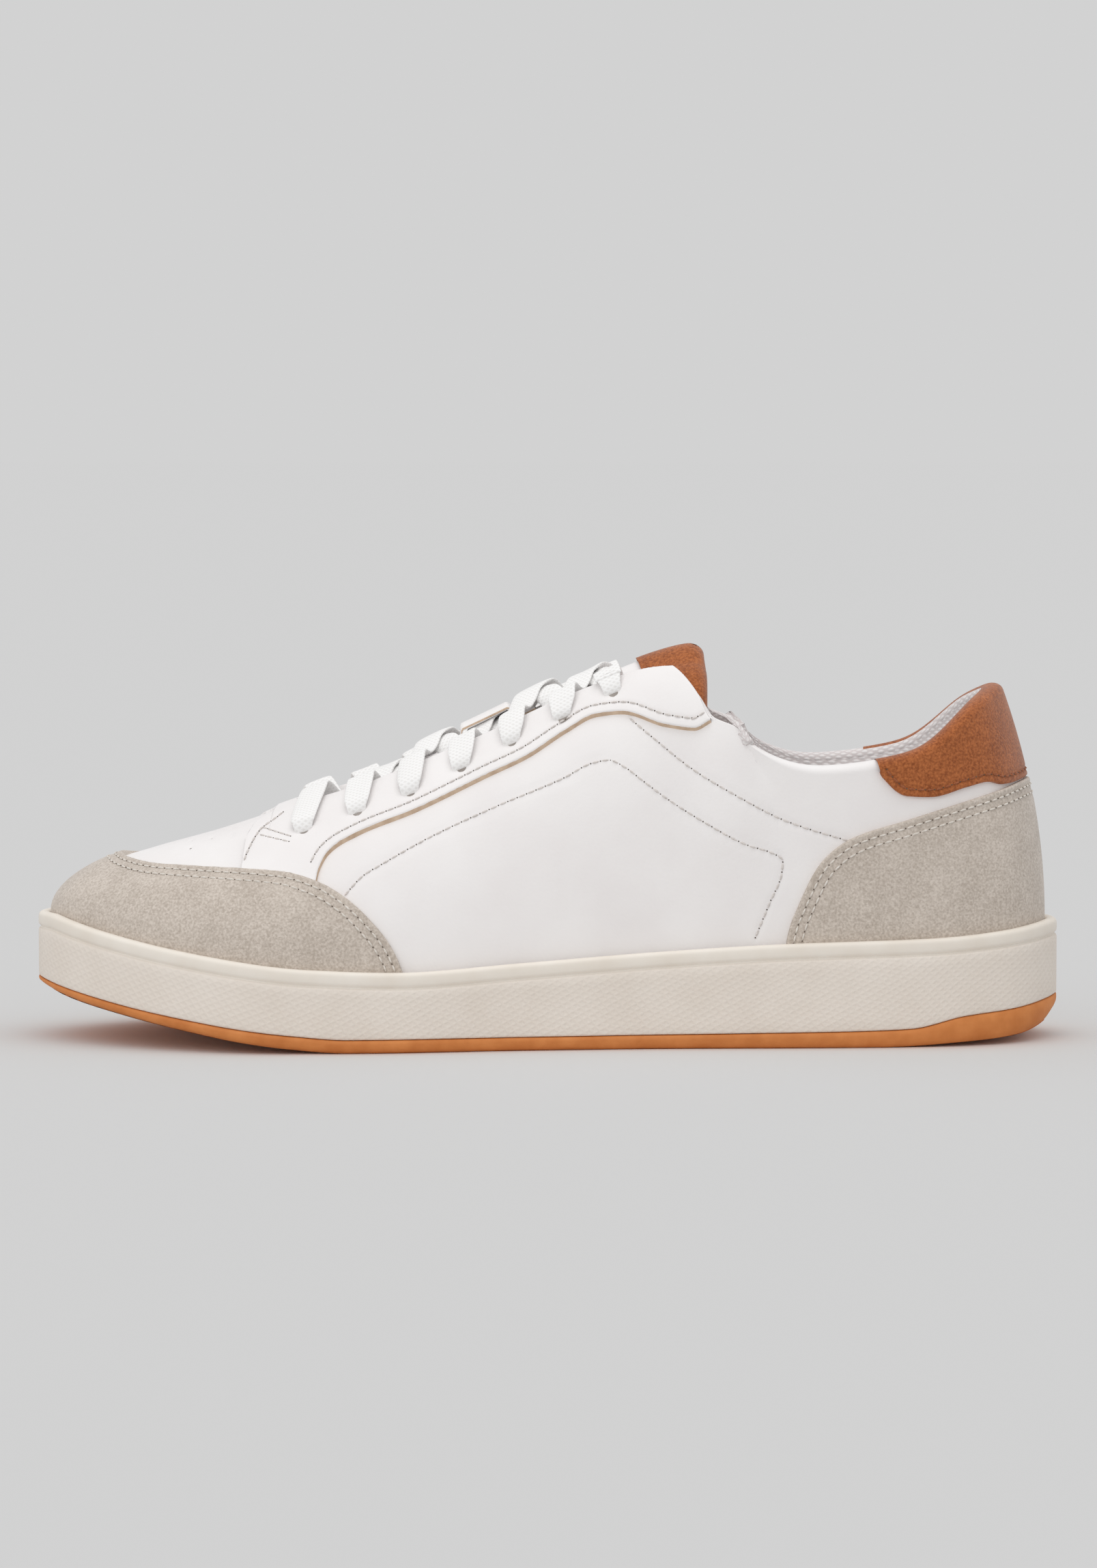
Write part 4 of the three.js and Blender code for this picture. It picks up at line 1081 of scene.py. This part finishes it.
def heel_collar():
    v = columns(0.815, 1.185, (0.815, 0.85), (1.15, 1.185))
    top = roll_start(v)
    low = np.minimum(crossing(v, collar_edge), top)
    shown = low < top - 0.01
    v, top, low = v[shown], top[shown], low[shown]
    row = inside_edge(v, low, -2.1, OVERLAY)
    dips = [(line_at(*row, OVERLAY), *COLLAR_DENT)]
    suede = panel("heel_collar_suede", v, low, top, OVERLAY, middle=30, low_wall=OVERLAY_IN - 1.2, dips=dips)
    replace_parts(piece(suede, TAN_SUEDE), "heel_collar")
    stitch_row("heel_collar_stitches", *row, OVERLAY - 0.05, TAN_THREAD, "tan_suede")
    piece(rolled_edge("heel_collar_roll", v, OVERLAY, 0, 150), TAN_SUEDE)


def collar_top(v):
    """Where the quarters and their lining end: the throat, the cut behind the eyestay, the rolled collar."""
    return np.minimum(np.minimum(throat_edge(v), crossing(v, under_top)), roll_start(v))


def rolled_edge(name, v, outer, start, end):
    """The collar's rounded edge, from the leather outside (0 degrees) to the lining inside (180)."""
    t = collar_top(v)
    inner = LINING - padding(v, np.ones(v.shape))
    middle = (outer + inner) / 2
    half = (outer - inner) / 2
    base = upper_point(v, t)
    normal = upper_normal(v, t)
    up = unit(base - upper_point(v, t - 0.03))
    reach = EDGE_REACH + (ROLL - EDGE_REACH + 0.35 * half) * smooth(ROLL_FROM, ROLL_FULL, from_toe(v))
    rows = []
    for turn in np.radians(np.linspace(start, end, 14)):
        side = (middle + half * math.cos(turn))[:, None] * normal
        rows.append(base + side + up * (reach * math.sin(turn))[:, None])
    return sheet(name, np.stack(rows, 1), flipped=True)


def collar():
    """The lining inside the collar with its foam, and the white part of the rolled edge."""
    v = columns(EDGE_FROM, 2 - EDGE_FROM, (0.6, 0.7), (1.3, 1.4))
    t = BURIED + (collar_top(v)[:, None] - BURIED) * np.linspace(0, 1, 60)
    wide = np.broadcast_to(v[:, None], t.shape)
    lining = sheet("collar_lining_mesh", upper_at(wide, t, LINING - padding(wide, t)))
    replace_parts(piece(lining, MESH_CLOTH), "quarter_lining")
    v = columns(EDGE_FROM, 2 - EDGE_FROM)
    piece(rolled_edge("collar_lining_edge", v, LEATHER, 88, 180), MESH_CLOTH)
    for name, side in SIDES:
        v = mirrored(columns(EDGE_FROM, 0.84), side)
        piece(rolled_edge(f"collar_edge_{name}", v, LEATHER, 0, 95), LEATHER_LOOK)


# ---- tongue ----
TONGUE_TOP = 0.645


def tongue_half_width(v):
    return 24 + 6 * smooth(0.35, RIDGE_END, v)


def tongue_face(y, v):
    """How high the tongue's face lies from the upper's surface."""
    rise = TONGUE_RISE * smooth(0.335, 0.41, v)
    return TONGUE_EDGE + rise * (1 - smooth(1, THROAT - 2, np.abs(y)))


def tongue_grid(places, shares, height):
    """Points over the instep: shares run from the lateral edge (-1) to the medial edge (1)."""
    v, share = np.meshgrid(places, shares, indexing="ij")
    y = tongue_half_width(v) * share
    side = np.where(share < 0, -1.0, 1.0)

    def outside(t):
        return np.abs(upper_point(side * v, t)[..., 1]) > np.abs(y)

    t = last_place(np.full(v.shape, 0.2), np.ones(v.shape), outside, rounds=26)
    return upper_at(side * v, t, height(y, v))


def tongue_shell(name, start, width, outer, thickness, look, slot, back=0.0):
    """A layer over the tongue whose top end is rolled over to the back."""
    places = np.linspace(start, TONGUE_TOP, 130)
    shares = np.linspace(-width, width, 61)
    face = tongue_grid(places, shares, lambda y, v: tongue_face(y, v) + outer)
    rear = tongue_grid(places, shares, lambda y, v: tongue_face(y, v) - thickness)
    tip = unit(face[-1] - face[-3])
    middle = (face[-1] + rear[-1]) / 2
    half = (face[-1] - rear[-1]) / 2
    size = np.linalg.norm(half, axis=-1, keepdims=True)
    rows = list(face)
    for degrees in np.linspace(10, 180, 16):
        turn = math.radians(degrees)
        rows.append(middle + half * math.cos(turn) + tip * size * 1.15 * math.sin(turn))
    shown = int(back * len(places))
    rows += [rear[-1 - k] for k in range(1, shown)]
    return piece(sheet(name, np.stack(rows, 0)), look)


def tongue():
    thick = TONGUE_THICK
    leather, cloth = (LEATHER_LOOK, "white_leather"), (MESH_CLOTH, "white_mesh")
    face = tongue_shell("tongue_leather", 0.285, 1.0, 0.0, thick * 0.93, *leather)
    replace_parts(face, "tongue_face", "tongue_foam")
    lining = tongue_shell("tongue_mesh", 0.30, 0.97, -0.7, thick, *cloth, back=0.95)
    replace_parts(lining, "tongue_lining")
    suede = (TAN_SUEDE, "tan_suede")
    label = tongue_shell("tongue_label_suede", 0.606, 0.82, 1.1, thick + 0.7, *suede, back=0.07)
    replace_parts(label, "tongue_label")


# ---- lace ----
def hole_frames():
    found = {}
    for name, side in SIDES:
        v, t = HOLE_PLACES[name]
        found[name] = {"side": side, "centre": upper_point(v, t), "normal": upper_normal(v, t)}
    return found


HOLE_FRAMES = hole_frames()
LACE_CLEAR = GAP + 0.6
STACK = LACE_THICKNESS + GAP + 0.15
KEEPER_AT = 3
KEEPER_THICKNESS = 1.2
KEEPER_LENGTH = 26
KEEPER_HALF_WIDTH = 4.5


def above_tongue(lift):
    return lambda y, v: tongue_face(y, v) + lift


def on_tongue(lift):
    """The height of a lace that lies on the tongue, raised by lift."""
    return above_tongue(LACE_CLEAR + LACE_THICKNESS / 2 + lift)


def over_keeper(index):
    """How far the strands next to the keeper are raised to clear it."""
    return KEEPER_THICKNESS + 1 if abs(index - KEEPER_AT) == 1 else 0


def over_instep(places):
    """Points above the upper's surface, each found from its place in plan and its height there."""
    x = np.array([place[0] for place in places], float)
    y = np.array([place[1] for place in places], float)
    middle = 0.5
    points = np.zeros((len(places), 3))
    for side in (-1, 1):
        chosen = (y < 0) == (side < 0)
        if not chosen.any():
            continue
        plan = np.where(np.abs(y[chosen]) < middle, side * middle, y[chosen])
        v, t = locate([0, 1], np.stack([x[chosen], plan], 1), side, 0.0)
        base = upper_point(v, t)
        base[:, 1] = y[chosen]
        normal = upper_normal(v, t)
        normal[:, 1] *= np.minimum(np.abs(y[chosen]) / middle, 1)
        normal = unit(normal)
        heights = [place[2] for place, is_here in zip(places, chosen) if is_here]
        size = [
            float(height(across, at)) if callable(height) else height
            for height, across, at in zip(heights, y[chosen], from_toe(v))
        ]
        points[chosen] = base + normal * np.array(size)[:, None]
    return points


def row_direction(index):
    """The direction of the rows of holes at a hole, which the lace's width follows."""
    here = min(index, HOLES - 2)
    steps = [np.diff(HOLE_FRAMES[name]["centre"], axis=0)[here] for name, _ in SIDES]
    return unit(steps[0] + steps[1])


def strand(start, end, index, over, enters_from_above):
    """The lace from hole `index` on one side over the tongue to the next hole on the other side."""
    points = []
    begin, finish = start["centre"][index], end["centre"][index + 1]
    reach = abs(begin[1])

    def put(y, height, width=LACE_WIDTH):
        share = 0.5 - y / (2 * reach)
        eased = 0.5 * share + 0.5 * float(smooth(0.2, 0.8, share))
        x = begin[0] + (finish[0] - begin[0]) * eased
        points.append(((x, start["side"] * y, height), width, row_direction(index)))

    advance = (finish[0] - begin[0]) / 4
    edge = float(throat_half(begin[0] + advance - LACE_WIDTH / 2))
    far_edge = float(throat_half(finish[0] - advance - LACE_WIDTH / 2))
    lift = over_keeper(index) + (STACK if over else 0)
    leave = [
        (reach - 0.9, LACE_OVER + 0.3, LACE_IN_HOLE + 0.8), (reach - 3, LACE_OVER + 0.9, LACE_WIDTH - 0.6),
        (edge + 2, LACE_OVER + 1.0, LACE_WIDTH), (edge - 1, LACE_OVER + 0.9, LACE_WIDTH),
        (edge - 3.6, on_tongue(lift + 1.2), LACE_WIDTH),
    ]
    for y, height, width in leave:
        put(y, height, width)
    cross = min(5.5, edge - 4.5)
    for y in (cross, cross / 2, 0, -cross / 2, -cross):
        put(y, on_tongue(lift))
    if enters_from_above:
        for y, height, width in leave[::-1]:
            put(-y, height, width)
    else:
        put(-far_edge + 3, on_tongue(0))
        put(-far_edge + 1, on_tongue(0))
        put(-far_edge - 2, LACE_UNDER)
        put(-reach + 4.5, LACE_UNDER - 0.1, LACE_WIDTH - 1)
        put(-reach + 1.3, LACE_UNDER, LACE_IN_HOLE + 0.4)
    return points


def through_hole(frame_of, index, upwards):
    heights = [LACE_UNDER + 1.1, OVERLAY - 0.4]
    if not upwards:
        heights.reverse()
    centre, normal = frame_of["centre"][index], frame_of["normal"][index]
    return [(centre + normal * height, LACE_IN_HOLE, row_direction(index)) for height in heights]


def lace_half(start_side):
    frames = HOLE_FRAMES
    bar_x, bar_y = frames[start_side]["centre"][0][:2]
    points = []
    for share, width in ((0.2, LACE_WIDTH), (0.5, LACE_WIDTH), (0.8, LACE_WIDTH - 1), (0.93, LACE_IN_HOLE)):
        points.append(((bar_x, bar_y * share, LACE_UNDER), width, row_direction(0)))
    points += through_hole(frames[start_side], 0, True)
    here = start_side
    for index in range(HOLES - 1):
        there = "medial" if here == "lateral" else "lateral"
        last = index == HOLES - 2
        points += strand(frames[here], frames[there], index, here == "lateral", last)
        points += through_hole(frames[there], index + 1, not last)
        here = there
    end = frames[here]["centre"][-1]
    for share in (0.08, 0.45, 1):
        y = end[1] + frames[here]["side"] * 7.7 * share
        points.append(((end[0], y, LACE_UNDER), LACE_IN_HOLE + share, row_direction(HOLES - 1)))
    return points


def lace_places(given):
    """The lace's points in space: those in a hole are known, the others lie over the instep."""
    loose = [isinstance(place, tuple) for place in given]
    found = iter(over_instep([place for place, is_loose in zip(given, loose) if is_loose]))
    return np.array([next(found) if is_loose else place for place, is_loose in zip(given, loose)])


def eased_path(values, fine):
    """Catmull-Rom curve through the rows of values, with `fine` steps between two rows."""
    padded = np.concatenate([values[:1], values, values[-1:]])
    out = []
    for i in range(1, len(padded) - 2):
        a, b, c, d = padded[i - 1:i + 3]
        for u in np.arange(fine) / fine:
            square = 2 * a - 5 * b + 4 * c - d
            cube = 3 * b - a - 3 * c + d
            out.append(0.5 * (2 * b + (c - a) * u + square * u**2 + cube * u**3))
    out.append(values[-1])
    return np.array(out)


def eased_rows(values, times):
    """The same rows with each one drawn a little towards its neighbours."""
    values = values.copy()
    for _ in range(times):
        values[1:-1] = (values[:-2] + 2 * values[1:-1] + values[2:]) / 4
    return values


def lace():
    points = lace_half("lateral")[::-1] + lace_half("medial")
    places, widths, rows = zip(*points)
    path = eased_path(lace_places(places), 6)
    width = eased_path(np.array(widths)[:, None], 6)[:, 0]
    row = unit(eased_path(np.array(rows), 6))
    path = eased_rows(path, 3)
    along = unit(np.gradient(path, axis=0))
    across = unit(row - along * (row * along).sum(-1, keepdims=True))
    across = unit(eased_rows(across, 8))
    up = unit(eased_rows(np.cross(along, across), 8))
    turn = np.linspace(0, 2 * math.pi, 25)[:-1]
    flat = np.sign(np.cos(turn)) * np.abs(np.cos(turn)) ** 0.55
    thick = np.sign(np.sin(turn)) * np.abs(np.sin(turn)) ** 0.8
    crown = 0.22 * (1 - flat**2)
    rings = (
        path[:, None] + across[:, None] * (flat[None] * width[:, None] / 2)[..., None]
        + up[:, None] * (thick * LACE_THICKNESS / 2 + crown)[None, :, None]
    )
    uv = np.stack([np.broadcast_to(lengths(path)[:, None], rings.shape[:2]), flat * width[:, None] / 2], -1)
    obj = make_mesh("lace_weave", rings, tube_faces(*rings.shape[:2]), uv.reshape(-1, 2))
    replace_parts(piece(obj, LACE_CLOTH), "lace")


def lace_keeper():
    """A leather loop on the tongue that the laces run over and under."""
    x_from, x_to = HOLE_FRAMES["lateral"]["centre"][KEEPER_AT:KEEPER_AT + 2, 0]
    clear = STACK + LACE_CLEAR + LACE_THICKNESS + 0.5
    along = np.concatenate([np.linspace(-1, -0.7, 6), np.linspace(-0.66, 0.66, 34), np.linspace(0.7, 1, 6)])
    across = np.array([-1, -0.97, -0.9, -0.6, 0, 0.6, 0.9, 0.97, 1])
    drop = np.array([0.5, 0.2, 0.04, 0, 0, 0, 0.04, 0.2, 0.5])
    skins = []
    for lift, sign in ((KEEPER_THICKNESS, 1), (0.0, -1)):
        places = []
        for share in along:
            rise = GAP + (clear - GAP) * (1 - float(smooth(0.5, 0.7, abs(share))))
            x = (x_from + x_to) / 2 + share * KEEPER_LENGTH / 2
            for side, down in zip(across, drop):
                stand = above_tongue(rise + lift - sign * down)
                places.append((x, side * KEEPER_HALF_WIDTH, stand))
        skins.append(over_instep(places).reshape(len(along), len(across), 3))
    top, bottom = skins
    loop = np.concatenate([top, bottom[:, ::-1]], 1)
    around_count = loop.shape[1]
    faces = tube_faces(*loop.shape[:2])[:, [0, 3, 2, 1]]
    obj = piece(make_mesh("lace_keeper_leather", loop, faces, grid_uv(loop)), LEATHER_LOOK)
    edges = (0, len(across) - 2, len(across) - 1, around_count - 1)
    second_look(obj, RAW_EDGE, [i for i in range(len(faces)) if i % around_count in edges])
    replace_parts(obj, "lace_keeper")


# ---- hidden pieces keep their CAD shape and get a finish ----
HIDDEN = {
    "midsole_foam": FOAM, "strobel_board": BOARD, "vamp_lining": MESH_CLOTH, "toe_puff": BOARD,
    "heel_stiffener": BOARD, "collar_foam": FOAM, "eyelet_strip_lateral": BOARD,
    "eyelet_strip_medial": BOARD,
}


def hidden_pieces():
    for name, look in HIDDEN.items():
        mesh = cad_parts[name].data
        mesh.materials.clear()
        mesh.materials.append(look)


# ---- stage ----
CAMERA_DISTANCE = 1.53
CAMERA_ELEVATION = 4.0
AIM_HEIGHT = 0.0735
FLOOR_HALF = 20.0
DOME_STRENGTH = 0.645


def stage():
    mesh = bpy.data.meshes.new("floor")
    corners = [(x * FLOOR_HALF, y * FLOOR_HALF, 0) for x, y in ((-1, -1), (1, -1), (1, 1), (-1, 1))]
    mesh.from_pydata(corners, [], [(0, 1, 2, 3)])
    floor = bpy.data.objects.new("floor", mesh)
    bpy.context.collection.objects.link(floor)
    material = bpy.data.materials.new("floor")
    material.use_nodes = True
    shader = material.node_tree.nodes["Principled BSDF"]
    shader.inputs["Base Color"].default_value = (0.995, 0.995, 0.995, 1)
    shader.inputs["Roughness"].default_value = 1.0
    shader.inputs["Specular IOR Level"].default_value = 0.0
    mesh.materials.append(material)
    floor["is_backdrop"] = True


def area_light(name, place, target, size, power, lit):
    """A soft light that falls only on the objects of one collection."""
    light = bpy.data.lights.new(name, "AREA")
    light.shape = "RECTANGLE"
    light.size, light.size_y = size
    light.energy = power
    obj = bpy.data.objects.new(name, light)
    obj.location = place
    obj.rotation_euler = (Vector(target) - Vector(place)).to_track_quat("-Z", "Y").to_euler()
    obj.light_linking.receiver_collection = lit
    bpy.context.collection.objects.link(obj)


def studio():
    world = bpy.data.worlds.new("studio")
    world.use_nodes = True
    world.node_tree.nodes["Background"].inputs["Color"].default_value = (1, 1, 1, 1)
    world.node_tree.nodes["Background"].inputs["Strength"].default_value = DOME_STRENGTH
    bpy.context.scene.world = world
    shoe = bpy.data.collections.new("shoe_lit")
    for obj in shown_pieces():
        shoe.objects.link(obj)
    area_light("top", (0.1, -0.2, 1.5), (0, 0, 0.05), (1.2, 0.9), 6.5, shoe)
    area_light("front", (-0.9, -1.6, 0.9), (0, 0, 0.05), (1.2, 0.9), 7, shoe)
    bpy.context.scene.view_settings.view_transform = "Standard"


def camera():
    data = bpy.data.cameras.new("camera")
    data.lens = 120
    data.sensor_width = 36
    obj = bpy.data.objects.new("camera", data)
    tilt = math.radians(CAMERA_ELEVATION)
    away = Vector((0, -math.cos(tilt), math.sin(tilt)))
    obj.location = Vector((0, 0, AIM_HEIGHT)) + away * CAMERA_DISTANCE
    obj.rotation_euler = (-away).to_track_quat("-Z", "Y").to_euler()
    bpy.context.collection.objects.link(obj)
    bpy.context.scene.camera = obj


cupsole()
outsole()
sockliner()
toe_guard()
vamp()
quarters()
for eyestay_name, eyestay_side in SIDES:
    eyestay(eyestay_name, eyestay_side)
heel_counter()
heel_collar()
collar()
tongue()
lace()
lace_keeper()
hidden_pieces()
stage()
studio()
camera()
